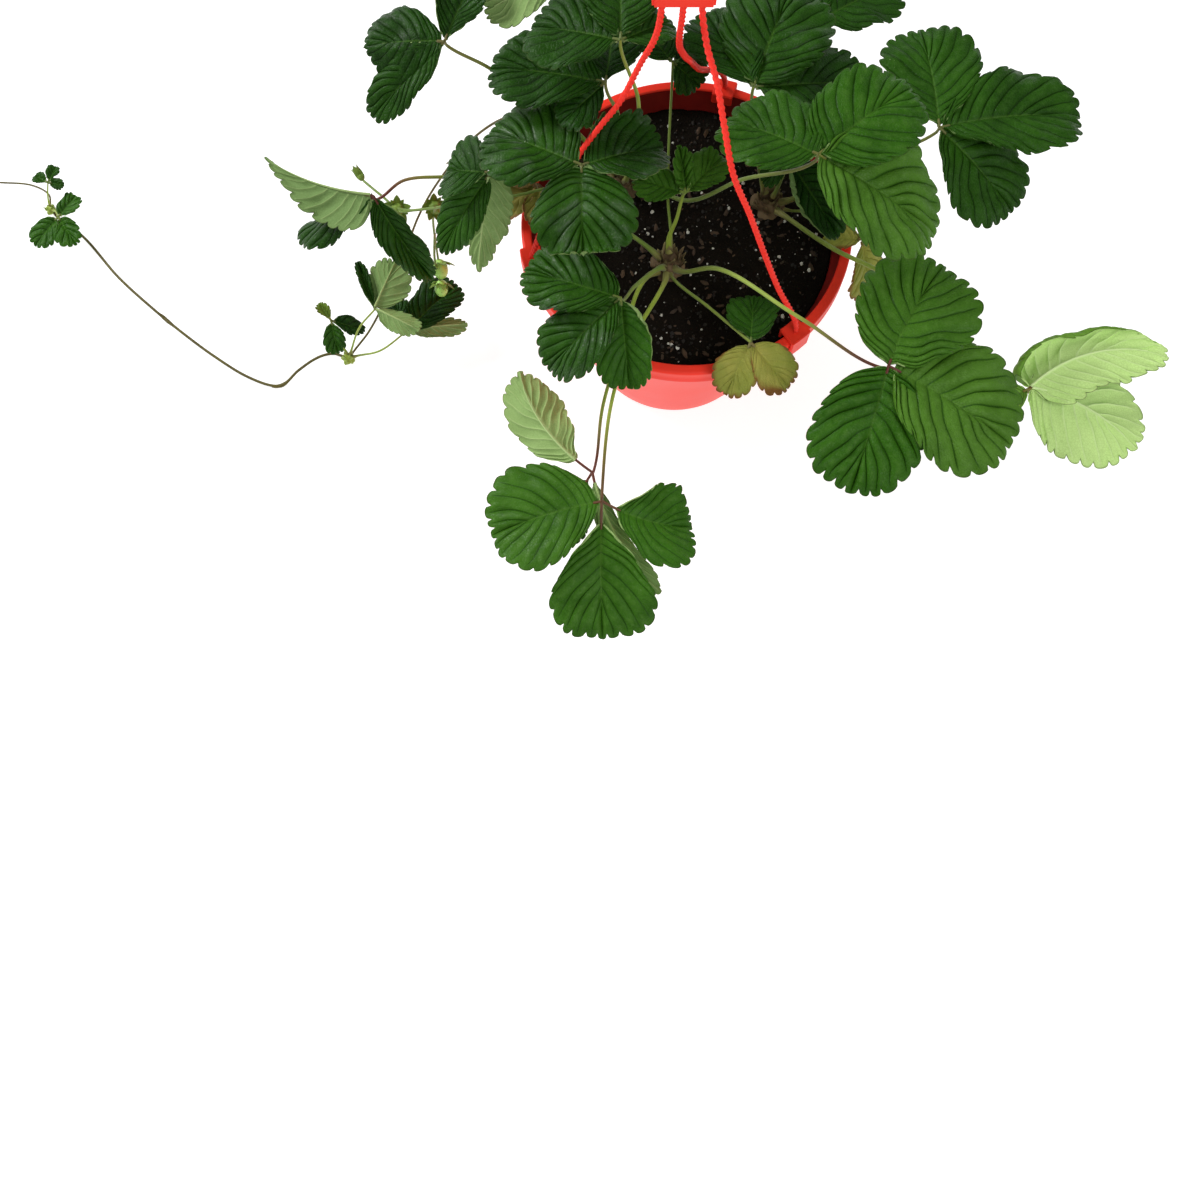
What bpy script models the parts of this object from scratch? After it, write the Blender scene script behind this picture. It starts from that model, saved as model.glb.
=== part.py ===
"""A strawberry plant in a red plastic hanging pot that stands on a surface, its hanger slack above it.

Metres, +Z up. The origin is the middle of the pot's base. +X is to the right and +Y to the back.
Headings are degrees anticlockwise from +X. A rise is degrees above the horizontal.
"""

import math

import bmesh
import bpy
from mathutils import Matrix, Vector, noise
from mathutils.geometry import interpolate_bezier

GAP = 0.0003  # what touching pieces keep between them

# Pot
RIM_RADIUS = 0.105
POT_HEIGHT = 0.150
BASE_RADIUS = 0.063
WALL = 0.0018
FLOOR_THICKNESS = 0.0024
RIM_BAND = 0.0065
RIM_BEVEL = 0.0015
SKIRT_HEIGHT = 0.012
BASE_ROUNDING = 0.004
DRAIN_HOLES = 8
DRAIN_RADIUS = 0.0045
DRAIN_CIRCLE = 0.046
POT_SIDES = 40

# Soil
SOIL_LEVEL = 0.135
SOIL_MOUND = 0.0015
SOIL_LUMPS = 0.0035
SOIL_LUMP_SIZE = 0.022
SOIL_SIDES = 32
SOIL_RINGS = 4

# Hanger
HANGER_TOP = Vector((-0.0145, 0.004, 0.333))
HANGER_BAR = (0.031, 0.005, 0.011)
BAR_BEVEL = 0.001
HOOK_RADIUS = 0.012
HOOK_WIRE = 0.0022
HOOK_SHANK = 0.034
HOOK_END_ANGLE = -60
STRAND_RADIUS = 0.00175
STRAND_RUN = 0.006
CLIP_LENGTH = 0.015
CLIP_OUTER_DEPTH = 0.013
CLIP_INNER_DEPTH = 0.006
CLIP_WALL = 0.0022
CLIP_RUN = 0.010
CLIP_LEAN = 0.003

# Plant
STALK_BASE = 0.0017
STALK_TIP = 0.0010
STALK_SIDES = 5
STALK_RUN = 0.008  # straight where a leaf's stalk leaves its crown
SEAT_RUN = 0.005  # and where it reaches the leaf
STEEPEST_SEAT = 70
THIN_STALK_TAPER = 0.8
BLADE_THICKNESS = 0.0008
HUB_RADIUS = 0.0022
WIDE_OPENING = 150  # between two leaflets; the hub is rounded off there
PETIOLULE_HALF_WIDTH = 0.0009
BASE_TAPER = 0.95
TIP_ROUNDING = 0.5
BLADE_STATIONS = (0.10, 0.32, 0.56, 0.80, 0.95)
BUD_FRONT = 0.30
BUD_BACK = 0.18
SEPAL_NOTCH = 0.5
RUNNER_RADIUS = 0.0009
ON_FLOOR = RUNNER_RADIUS + 3 * GAP  # the middle of a runner that lies on the surface

# Crowns, the short stems that the leaves grow from: the middle and the radius of each. Three are
# bedded in the soil, and two are daughter plants that lie beside the pot.
CROWNS = {
    "crown_front": ((-0.011, -0.024, 0.1375), 0.011),
    "crown_right": ((0.054, 0.020, 0.1375), 0.011),
    "crown_back": ((-0.040, 0.036, 0.1375), 0.011),
    "plantlet_1_crown": ((-0.243, -0.022, 0.0053), 0.005),
    "plantlet_2_crown": ((-0.482, 0.105, 0.0043), 0.004),
}

# Each leaf: the crown it grows from, the heading and rise at which its stalk leaves the crown, the
# points that the stalk passes, the hub where the leaflets meet, and for each leaflet its heading,
# rise, length, width, roll (left side up), droop (bend down from base to tip) and fold (left half
# up, right half up; below zero, down).
LEAVES = {
    "leaf_a": ("crown_front", 165, 48, [(-0.052, -0.015, 0.182)],
               (-0.0655, -0.0125, 0.226), [
        (153, 5, 0.060, 0.056, 0, 22, (6, 6)),
        (-89, -8, 0.054, 0.062, 0, 30, (4, 4)),
        (20, 0, 0.050, 0.044, -10, 14, (16, 8))]),
    "leaf_b": ("crown_front", 235, 50, [(-0.034, -0.058, 0.172)], (-0.043, -0.077, 0.192), [
        (158, 0, 0.062, 0.046, -6, 14, (10, 10)),
        (-142, -12, 0.060, 0.046, 6, 24, (10, 10)),
        (-84, -14, 0.052, 0.040, 10, 20, (8, 8))]),
    "leaf_c": ("crown_front", 95, 60, [(-0.008, -0.010, 0.168)], (-0.004, -0.006, 0.190), [
        (166, 14, 0.032, 0.030, 0, 16, (10, 10)),
        (46, 12, 0.033, 0.030, 0, 16, (12, 12)),
        (110, 62, 0.028, 0.020, 0, 10, (55, 55))]),
    "leaf_d": ("crown_back", 328, 34, [(-0.002, 0.002, 0.170), (0.026, -0.018, 0.220)],
               (0.059, -0.039, 0.272), [
        (147, -2, 0.056, 0.054, 0, 18, (6, 6)),
        (41, 4, 0.070, 0.060, 0, 16, (5, 5)),
        (-22, -12, 0.080, 0.070, 0, 22, (4, 4))]),
    "leaf_e": ("crown_right", 345, 42, [(0.096, 0.012, 0.190)], (0.139, 0.012, 0.226), [
        (93, 2, 0.072, 0.060, 0, 12, (6, 6)),
        (11, 0, 0.088, 0.060, 0, 12, (8, 8)),
        (-38, -16, 0.066, 0.060, 0, 14, (6, 6))]),
    "leaf_f": ("crown_front", 300, 45, [(0.016, -0.055, 0.186), (0.057, -0.101, 0.212)],
               (0.107, -0.125, 0.202), [
        (62, 4, 0.074, 0.076, 0, 10, (5, 5)),
        (-106, -16, 0.074, 0.066, 0, 16, (6, 6)),
        (-27, -8, 0.086, 0.078, 0, 14, (4, 4))]),
    "leaf_g": ("crown_right", 300, 32, [(0.088, -0.029, 0.166), (0.118, -0.054, 0.176)],
               (0.202, -0.119, 0.160), [
        (20, 4, 0.090, 0.056, -20, 10, (-6, -6)),
        (-24, -6, 0.076, 0.066, 0, 10, (-8, -8)),
        (-160, -16, 0.046, 0.040, 0, 20, (10, 10))]),
    "leaf_j": ("crown_front", 258, 28, [(-0.037, -0.090, 0.1590), (-0.049, -0.134, 0.163)],
               (-0.054, -0.184, 0.142), [
        (-166, -2, 0.070, 0.070, 0, 14, (6, 6)),
        (-90, -16, 0.084, 0.066, 0, 14, (8, 8)),
        (-18, -2, 0.060, 0.056, 0, 18, (6, 6))]),
    "leaf_k": ("crown_front", 218, 20, [(-0.041, -0.086, 0.157), (-0.053, -0.126, 0.153)],
               (-0.060, -0.158, 0.122), [
        (128, 10, 0.084, 0.038, -30, 20, (-10, -10)),
        (-60, -26, 0.084, 0.032, -10, 10, (-10, -10)),
        (-130, -40, 0.056, 0.040, 0, 10, (10, 10))]),
    "leaf_l": ("crown_back", 158, 52, [(-0.084, 0.050, 0.192), (-0.121, 0.056, 0.222)],
               (-0.144, 0.060, 0.238), [
        (-163, -4, 0.050, 0.048, 0, 20, (8, 8)),
        (-131, -30, 0.056, 0.028, -20, 10, (10, 10)),
        (68, 14, 0.050, 0.034, 0, 20, (20, 20))]),
    "leaf_m": ("crown_back", 95, 68, [(-0.044, 0.040, 0.200)], (-0.052, 0.028, 0.244), [
        (166, 0, 0.068, 0.042, -6, 14, (8, 8)),
        (-142, -10, 0.034, 0.028, 0, 10, (8, 8)),
        (84, -6, 0.055, 0.042, 0, 20, (8, 8))]),
    "leaf_n": ("crown_back", 285, 66, [(-0.033, 0.0275, 0.228)], (-0.044, 0.030, 0.274), [
        (158, -6, 0.054, 0.056, 0, 14, (6, 6)),
        (34, -6, 0.034, 0.032, 0, 12, (8, 8)),
        (90, 8, 0.056, 0.050, 0, 20, (6, 6))]),
    "leaf_o": ("crown_back", 128, 40, [(-0.076, 0.070, 0.200)], (-0.080, 0.094, 0.246), [
        (-164, -8, 0.044, 0.042, 0, 14, (8, 8)),
        (104, -10, 0.060, 0.050, 0, 24, (6, 6)),
        (34, -10, 0.050, 0.042, 0, 20, (8, 8))]),
    "leaf_p": ("crown_right", 130, 60, [(0.036, 0.026, 0.205)], (0.030, 0.020, 0.250), [
        (114, 0, 0.062, 0.042, 0, 14, (6, 6)),
        (71, 2, 0.078, 0.066, 0, 14, (5, 5)),
        (14, -8, 0.074, 0.058, 0, 12, (6, 6))]),
    "leaf_r": ("crown_back", 205, 34, [(-0.088, 0.008, 0.188)], (-0.119, -0.005, 0.208), [
        (166, -14, 0.036, 0.044, 0, 20, (10, 10)),
        (-142, -46, 0.066, 0.038, -10, 14, (10, 10)),
        (-100, -60, 0.072, 0.036, 0, 8, (-10, -10))]),
    "leaf_s": ("crown_back", 180, 28, [(-0.104, 0.024, 0.168), (-0.150, 0.016, 0.174),
                                      (-0.176, 0.014, 0.173)], (-0.195, 0.006, 0.168), [
        (163, 0, 0.076, 0.038, 0, 6, (-10, -70)),
        (-42, -50, 0.068, 0.030, 0, 10, (50, 4)),
        (-170, -26, 0.068, 0.044, 0, 10, (10, 10))]),
    "leaf_y": ("crown_right", 62, 45, [(0.067, 0.064, 0.192)], (0.073, 0.092, 0.216), [
        (100, 0, 0.060, 0.050, 0, 20, (6, 6)),
        (34, 2, 0.062, 0.050, 0, 16, (6, 6)),
        (150, 2, 0.048, 0.034, 0, 20, (8, 8))]),
}

# Small leaves, each one piece with its thin stalk: as above, with the stalk's radius after the rise.
SMALL_LEAVES = {
    "leaf_i": ("crown_front", 275, 32, 0.0012, [(0.012, -0.066, 0.160)], (0.035, -0.093, 0.168), [
        (84, 0, 0.034, 0.032, 0, 12, (6, 6)),
        (-118, -14, 0.034, 0.028, 0, 24, (6, 6)),
        (-44, -10, 0.036, 0.030, 0, 22, (6, 6))]),
    "leaf_q": ("crown_front", 84, 26, 0.0011, [(-0.012, 0.016, 0.153)], (-0.010, 0.086, 0.190), [
        (126, 4, 0.038, 0.034, 0, 16, (8, 8)),
        (-36, -10, 0.022, 0.019, 0, 16, (8, 8)),
        (40, 0, 0.020, 0.016, 0, 16, (8, 8))]),
    "leaf_z": ("crown_right", 5, 80, 0.0014, [], (0.058, 0.012, 0.196), [
        (-50, -18, 0.054, 0.040, 0, 12, (10, 10)),
        (64, -4, 0.040, 0.034, 0, 16, (8, 8)),
        (-150, -20, 0.020, 0.016, 0, 20, (8, 8))]),
    "old_leaf": ("crown_right", 335, 14, 0.0010, [(0.090, 0.000, 0.1580)],
                 (0.109, -0.016, 0.156), [
        (-64, -46, 0.044, 0.030, -10, 30, (4, 4)),
        (176, 0, 0.024, 0.018, 0, 4, (6, 6)),
        (40, -20, 0.020, 0.018, 0, 10, (6, 6))]),
    "dead_leaf": ("crown_back", 192, 10, 0.0010, [(-0.072, 0.028, 0.151), (-0.089, 0.021, 0.154)],
                  (-0.094, 0.019, 0.162), [
        (-150, -6, 0.032, 0.026, 0, 26, (12, 12)),
        (160, -4, 0.026, 0.020, 0, 30, (12, 12)),
        (-90, 0, 0.028, 0.018, 0, 10, (12, 12))]),
    "plantlet_1_leaf_1": ("plantlet_1_crown", 40, 62, 0.0009, [(-0.230, -0.012, 0.034)],
                          (-0.216, -0.006, 0.050), [
        (60, 30, 0.037, 0.030, 0, 10, (-8, -8)),
        (110, 24, 0.035, 0.012, 0, 10, (50, 50)),
        (-30, 10, 0.038, 0.022, 0, 10, (-20, -20))]),
    "plantlet_1_leaf_2": ("plantlet_1_crown", 0, 30, 0.0009, [(-0.216, -0.024, 0.022)],
                          (-0.196, -0.014, 0.032), [
        (49, 6, 0.054, 0.034, 0, 20, (10, 10)),
        (11, -4, 0.044, 0.017, 0, 6, (-20, -20)),
        (112, 0, 0.030, 0.022, 0, 16, (10, 10))]),
    "plantlet_1_young_leaf": ("plantlet_1_crown", 120, 60, 0.0009, [(-0.250, -0.012, 0.022)],
                              (-0.252, -0.004, 0.030), [
        (128, 40, 0.014, 0.009, 0, 10, (40, 40)),
        (-80, -20, 0.024, 0.018, 0, 20, (10, 10)),
        (-4, -20, 0.026, 0.014, 0, 20, (10, 10))]),
    "plantlet_2_leaf_1": ("plantlet_2_crown", 320, 36, 0.0007, [(-0.474, 0.098, 0.012)],
                          (-0.470, 0.091, 0.016), [
        (-130, -6, 0.028, 0.024, 0, 10, (8, 8)),
        (-56, -2, 0.026, 0.022, 0, 10, (8, 8)),
        (60, 4, 0.022, 0.018, 0, 10, (8, 8))]),
    "plantlet_2_leaf_2": ("plantlet_2_crown", 84, 66, 0.0007, [(-0.480, 0.110, 0.016)],
                          (-0.478, 0.117, 0.022), [
        (150, 10, 0.012, 0.009, 0, 10, (8, 8)),
        (70, 12, 0.014, 0.010, 0, 10, (8, 8)),
        (-10, 4, 0.012, 0.009, 0, 10, (8, 8))]),
}

DRY_LEAVES = ("old_leaf", "dead_leaf")

# Strands of the hanger: where each starts along the bar, the heading of its clip on the rim, and the
# points on the way down.
STRANDS = {
    "hanger_strand_left": (-0.0105, 195, [
        (-0.0270, 0.005, 0.305), (-0.034, 0.007, 0.283), (-0.044, 0.004, 0.258),
        (-0.0555, 0.001, 0.240), (-0.0665, -0.0048, 0.225), (-0.078, -0.016, 0.203),
        (-0.091, -0.023, 0.175)]),
    "hanger_strand_right": (0.0095, 310, [
        (-0.002, -0.008, 0.313), (0.003, -0.021, 0.305), (0.008, -0.035, 0.290),
        (0.014, -0.050, 0.272), (0.026, -0.057, 0.245), (0.038, -0.063, 0.215),
        (0.050, -0.069, 0.187)]),
    "hanger_strand_back": (0.0, 75, [
        (-0.0145, 0.008, 0.298), (-0.010, 0.024, 0.270), (-0.003, 0.046, 0.238),
        (0.004, 0.060, 0.215), (0.013, 0.076, 0.195), (0.021, 0.088, 0.178)]),
}

# Runners along the surface: the crown that each starts from with its heading and rise there, the
# points that it passes, and the crown that it ends at. The last one ends free.
RUNNERS = {
    "runner_1": ("crown_back", 148, 20, [
        (-0.066, 0.052, 0.152), (-0.088, 0.066, 0.160), (-0.108, 0.076, 0.153),
        (-0.130, 0.083, 0.132), (-0.168, 0.090, 0.070), (-0.192, 0.083, 0.028),
        (-0.206, 0.062, 0.006), (-0.216, 0.036, ON_FLOOR), (-0.230, 0.002, ON_FLOOR)],
        ("plantlet_1_crown", 65, -10)),
    "runner_2": ("plantlet_1_crown", 155, -15, [
        (-0.256, -0.0165, ON_FLOOR), (-0.266, -0.019, ON_FLOOR), (-0.281, -0.030, ON_FLOOR),
        (-0.293, -0.0425, ON_FLOOR), (-0.298, -0.043, ON_FLOOR), (-0.318, -0.036, ON_FLOOR),
        (-0.345, -0.019, ON_FLOOR), (-0.374, 0.003, ON_FLOOR), (-0.399, 0.024, ON_FLOOR),
        (-0.425, 0.048, ON_FLOOR), (-0.456, 0.083, ON_FLOOR)],
        ("plantlet_2_crown", 310, -15)),
    "runner_3": ("plantlet_2_crown", 110, -15, [
        (-0.487, 0.120, ON_FLOOR), (-0.500, 0.128, ON_FLOOR), (-0.528, 0.131, ON_FLOOR)],
        None),
}

# Flower stalk: where it leaves its crown, its radius, its points, the points of each side stalk, and
# for each bud or young fruit its middle, the heading and rise that it faces, and its sepals' spread.
TRUSSES = {
    "flower_truss": ("crown_back", 222, 26, 0.0009, [
        (-0.078, 0.014, 0.168), (-0.108, 0.008, 0.166), (-0.138, 0.012, 0.154),
        (-0.168, 0.024, 0.128), (-0.190, 0.034, 0.113), (-0.207, 0.050, 0.108),
        (-0.224, 0.072, 0.102)], [
            [(-0.150, 0.0155, 0.1445), (-0.158, 0.022, 0.132), (-0.165, 0.029, 0.122)],
            [(-0.180, 0.029, 0.1185), (-0.188, 0.031, 0.114), (-0.192, 0.037, 0.110)],
            [(-0.162, 0.0215, 0.1340), (-0.168, 0.030, 0.105), (-0.1705, 0.027, 0.060)],
            [(-0.1690, 0.0298, 0.090), (-0.1715, 0.022, 0.070), (-0.170, 0.016, 0.048)]], [
            ((-0.165, 0.030, 0.121), -60, 40, 0.016),
            ((-0.192, 0.038, 0.110), -70, 50, 0.017),
            ((-0.224, 0.073, 0.103), 130, 20, 0.009),
            ((-0.171, 0.027, 0.059), 80, 0, 0.015),
            ((-0.170, 0.015, 0.046), -100, -30, 0.015)]),
}


def clear_scene():
    for obj in list(bpy.data.objects):
        bpy.data.objects.remove(obj, do_unlink=True)


def material(name, colour, roughness):
    """A plain Principled material, made once for each name."""
    made = bpy.data.materials.get(name) or bpy.data.materials.new(name)
    made.use_nodes = True
    shader = made.node_tree.nodes["Principled BSDF"]
    shader.inputs["Base Color"].default_value = (*colour, 1.0)
    shader.inputs["Roughness"].default_value = roughness
    shader.inputs["Metallic"].default_value = 0.0
    return made


def red_plastic():
    return material("red_plastic", (0.80, 0.045, 0.03), 0.35)


def soil_finish():
    return material("potting_soil", (0.022, 0.015, 0.011), 0.95)


def leaf_green():
    return material("leaf_green", (0.045, 0.16, 0.035), 0.42)


def young_green():
    return material("young_green", (0.16, 0.30, 0.07), 0.5)


def stalk_green():
    return material("stalk_green", (0.30, 0.36, 0.10), 0.5)


def crown_brown():
    return material("crown_brown", (0.16, 0.09, 0.04), 0.8)


def runner_brown():
    return material("runner_brown", (0.20, 0.15, 0.07), 0.6)


def old_leaf_brown():
    return material("old_leaf_brown", (0.42, 0.30, 0.10), 0.7)


def add_object(name, mesh, finish):
    obj = bpy.data.objects.new(name, mesh)
    mesh.materials.append(finish)
    bpy.context.scene.collection.objects.link(obj)
    return obj


def mesh_from(bm, name):
    """The bmesh as a mesh with its faces pointing out and smooth shading, sharp at hard edges."""
    bmesh.ops.recalc_face_normals(bm, faces=bm.faces)
    mesh = bpy.data.meshes.new(name)
    bm.to_mesh(mesh)
    bm.free()
    mesh.shade_smooth()
    mesh.set_sharp_from_angle(angle=math.radians(40))
    return mesh


def combine(obj, other, operation):
    """Cut the other object's shape out of obj, or join it on. The other stays as a hidden guide."""
    other.hide_render = True
    other.display_type = "WIRE"
    boolean = obj.modifiers.new(other.name, "BOOLEAN")
    boolean.operation = operation
    boolean.use_self = operation == "UNION"
    boolean.object = other


def direction(heading, rise):
    heading, rise = math.radians(heading), math.radians(rise)
    return Vector((math.cos(heading) * math.cos(rise),
                   math.sin(heading) * math.cos(rise), math.sin(rise)))


def smooth_path(points, per_span=3):
    """Points along a smooth curve through the given points, whose handles are a third of each span."""
    points = [Vector(place) for place in points]
    spans = [(end - start).normalized() for start, end in zip(points, points[1:])]
    headings = [spans[0]] + [(one + two).normalized() for one, two in zip(spans, spans[1:])]
    headings.append(spans[-1])
    path = []
    for index, (start, end) in enumerate(zip(points, points[1:])):
        reach = (end - start).length / 3
        path += interpolate_bezier(start, start + headings[index] * reach,
                                   end - headings[index + 1] * reach, end, per_span + 1)[:-1]
    return path + [points[-1]]


def turned(bm, profile, sides):
    """Spin (radius, height) points around Z. Points at radius 0 close on the axis."""
    verts = [bm.verts.new((radius, 0.0, height)) for radius, height in profile]
    edges = [bm.edges.new(pair) for pair in zip(verts, verts[1:])]
    bmesh.ops.spin(bm, geom=verts + edges, cent=(0, 0, 0), axis=(0, 0, 1),
                   angle=2 * math.pi, steps=sides, use_merge=True)
    bmesh.ops.remove_doubles(bm, verts=bm.verts, dist=1e-6)


def rod(bm, path, radius_start, radius_end, sides=STALK_SIDES):
    """A closed round rod along the path, tapering from one radius to the other."""
    side = None
    rings = []
    for index, place in enumerate(path):
        along = (path[min(index + 1, len(path) - 1)] - path[max(index - 1, 0)]).normalized()
        if side is None:
            side = along.orthogonal().normalized()
        side = (side - along * side.dot(along)).normalized()
        across = along.cross(side)
        radius = radius_start + (radius_end - radius_start) * index / (len(path) - 1)
        turns = [2 * math.pi * corner / sides for corner in range(sides)]
        rings.append([bm.verts.new(place + radius * (side * math.cos(turn) + across * math.sin(turn)))
                      for turn in turns])
    for near, far in zip(rings, rings[1:]):
        for a, b, c, d in zip(near, near[1:] + near[:1], far[1:] + far[:1], far):
            bm.faces.new((a, b, c, d))
    bm.faces.new(rings[0])
    bm.faces.new(rings[-1])


def rod_object(name, path, radius_start, radius_end, finish, sides=STALK_SIDES):
    bm = bmesh.new()
    rod(bm, path, radius_start, radius_end, sides)
    return add_object(name, mesh_from(bm, name), finish)


def ball_mesh(name, radius):
    bm = bmesh.new()
    bmesh.ops.create_uvsphere(bm, u_segments=12, v_segments=8, radius=radius)
    return mesh_from(bm, name)


# Pot and soil

def inner_radius(height):
    """The pot's inside radius at a height above its base."""
    top, bottom = RIM_RADIUS - RIM_BAND, BASE_RADIUS - WALL
    return bottom + (top - bottom) * height / POT_HEIGHT


def make_pot():
    rounding = [(BASE_RADIUS - BASE_ROUNDING * (1 - math.sin(angle)),
                 BASE_ROUNDING * (1 - math.cos(angle)))
                for angle in (0.0, math.pi / 6, math.pi / 3, math.pi / 2)]
    skirt = POT_HEIGHT - SKIRT_HEIGHT
    profile = [(0.0, 0.0)] + rounding + [
        (inner_radius(skirt) + WALL, skirt),
        (RIM_RADIUS - RIM_BEVEL, skirt),
        (RIM_RADIUS, skirt + RIM_BEVEL),
        (RIM_RADIUS, POT_HEIGHT - RIM_BEVEL),
        (RIM_RADIUS - RIM_BEVEL, POT_HEIGHT),
        (inner_radius(POT_HEIGHT) + RIM_BEVEL, POT_HEIGHT),
        (inner_radius(POT_HEIGHT), POT_HEIGHT - RIM_BEVEL),
        (inner_radius(FLOOR_THICKNESS), FLOOR_THICKNESS),
        (0.0, FLOOR_THICKNESS),
    ]
    bm = bmesh.new()
    turned(bm, profile, POT_SIDES)
    pot = add_object("pot", mesh_from(bm, "pot"), red_plastic())
    bm = bmesh.new()
    for index in range(DRAIN_HOLES):
        turn = Matrix.Rotation(2 * math.pi * (index + 0.5) / DRAIN_HOLES, 4, "Z")
        bmesh.ops.create_cone(bm, cap_ends=True, segments=12, radius1=DRAIN_RADIUS,
                              radius2=DRAIN_RADIUS, depth=4 * FLOOR_THICKNESS,
                              matrix=turn @ Matrix.Translation((DRAIN_CIRCLE, 0, 0)))
    holes = add_object("drain_holes", mesh_from(bm, "drain_holes"), red_plastic())
    combine(pot, holes, "DIFFERENCE")


def is_bedded(crown):
    """Whether this crown is one of those in the pot's soil."""
    return crown.startswith("crown")


def crown_surface(crown, heading, rise):
    """The place where a stalk leaves the crown, and its direction there."""
    place, radius = CROWNS[crown]
    leaving = direction(heading, rise)
    return Vector(place) + leaving * (radius + GAP), leaving


def make_soil():
    floor = FLOOR_THICKNESS + GAP
    top = SOIL_LEVEL + SOIL_MOUND
    profile = [(0.0, floor), (inner_radius(floor) - 2 * GAP, floor),
               (inner_radius(SOIL_LEVEL) - 2 * GAP, SOIL_LEVEL)]
    profile += [(inner_radius(SOIL_LEVEL) * (SOIL_RINGS - ring) / (SOIL_RINGS + 0.6), top)
                for ring in range(SOIL_RINGS)] + [(0.0, top)]
    bm = bmesh.new()
    turned(bm, profile, SOIL_SIDES)
    for vert in bm.verts:
        if vert.co.z > SOIL_LEVEL + SOIL_MOUND / 2:
            vert.co.z += SOIL_LUMPS * noise.noise(vert.co / SOIL_LUMP_SIZE)
    soil = add_object("soil", mesh_from(bm, "soil"), soil_finish())
    for name, (place, radius) in CROWNS.items():
        if is_bedded(name):
            socket_name = name + "_socket"
            socket = add_object(socket_name, ball_mesh(socket_name, radius + 2 * GAP), soil_finish())
            socket.location = place
            combine(soil, socket, "DIFFERENCE")


def make_crowns():
    for name, (place, radius) in CROWNS.items():
        finish = crown_brown() if is_bedded(name) else young_green()
        crown = add_object(name, ball_mesh(name, radius), finish)
        crown.location = place


# Hanger

def make_hanger_hook():
    bm = bmesh.new()
    bmesh.ops.create_cube(bm, size=1.0, matrix=Matrix.Diagonal((*HANGER_BAR, 1.0)))
    bmesh.ops.bevel(bm, geom=bm.edges, offset=BAR_BEVEL, segments=2, affect="EDGES")
    hook = add_object("hanger_hook", mesh_from(bm, "hanger_hook"), red_plastic())
    hook.location = HANGER_TOP
    arc = [math.radians(angle) for angle in range(180, HOOK_END_ANGLE - 1, -20)]
    centre = HANGER_TOP + Vector((HOOK_RADIUS, 0, HOOK_SHANK))
    path = [HANGER_TOP, HANGER_TOP + Vector((0, 0, HOOK_SHANK * 0.5))]
    path += [centre + HOOK_RADIUS * Vector((math.cos(turn), 0, math.sin(turn))) for turn in arc]
    shank = rod_object("hanger_hook_shank", path, HOOK_WIRE, HOOK_WIRE, red_plastic(), 10)
    combine(hook, shank, "UNION")


def clip_mesh(name, heading):
    """A saddle over the rim: a U-shaped section spun through the clip's length."""
    outer, inner = RIM_RADIUS + GAP, inner_radius(POT_HEIGHT - CLIP_INNER_DEPTH) - 2 * GAP
    top = POT_HEIGHT + GAP
    section = [
        (outer, POT_HEIGHT - CLIP_OUTER_DEPTH), (outer, top), (inner, top),
        (inner, POT_HEIGHT - CLIP_INNER_DEPTH),
        (inner - CLIP_WALL, POT_HEIGHT - CLIP_INNER_DEPTH), (inner - CLIP_WALL, top + CLIP_WALL),
        (outer + CLIP_WALL, top + CLIP_WALL), (outer + CLIP_WALL, POT_HEIGHT - CLIP_OUTER_DEPTH),
    ]
    angle = CLIP_LENGTH / RIM_RADIUS
    bm = bmesh.new()
    face = bm.faces.new([bm.verts.new((radius, 0.0, height)) for radius, height in section])
    start = Matrix.Rotation(math.radians(heading) - angle / 2, 3, "Z")
    bmesh.ops.rotate(bm, verts=bm.verts, cent=(0, 0, 0), matrix=start)
    bmesh.ops.spin(bm, geom=[face] + list(face.edges) + list(face.verts), cent=(0, 0, 0),
                   axis=(0, 0, 1), angle=angle, steps=3)
    bmesh.ops.holes_fill(bm, edges=[edge for edge in bm.edges if edge.is_boundary])
    return mesh_from(bm, name)


def make_strands():
    for name, (start_x, heading, points) in STRANDS.items():
        strand = add_object(name, clip_mesh(name, heading), red_plastic())
        start = HANGER_TOP + Vector((start_x, 0, -HANGER_BAR[2] / 2 - GAP))
        rim = inner_radius(POT_HEIGHT) + RIM_BAND / 2
        end = direction(heading, 0) * rim + Vector((0, 0, POT_HEIGHT + CLIP_WALL / 2))
        above = end + Vector((0, 0, CLIP_RUN)) - direction(heading, 0) * CLIP_LEAN
        path = smooth_path([start, start - Vector((0, 0, STRAND_RUN))] + points + [above, end])
        cord = rod_object(name + "_cord", path, STRAND_RADIUS, STRAND_RADIUS, red_plastic())
        combine(strand, cord, "UNION")


# Leaves

def half_width(share):
    """Half of a leaflet's width as a share of its widest, along its midrib: a wedge that widens to
    two thirds of the length and ends round."""
    widest = BASE_TAPER / (BASE_TAPER + TIP_ROUNDING)
    most = widest ** BASE_TAPER * (1 - widest) ** TIP_ROUNDING
    return share ** BASE_TAPER * (1 - share) ** TIP_ROUNDING / most


def leaflet_frame(heading, rise, roll):
    """The leaflet's forward, left and up directions at one place on its midrib."""
    forward = direction(heading, rise)
    level_left = direction(heading + 90, 0)
    level_up = forward.cross(level_left)
    turn = math.radians(roll)
    left = level_left * math.cos(turn) + level_up * math.sin(turn)
    return forward, left, forward.cross(left)


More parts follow.
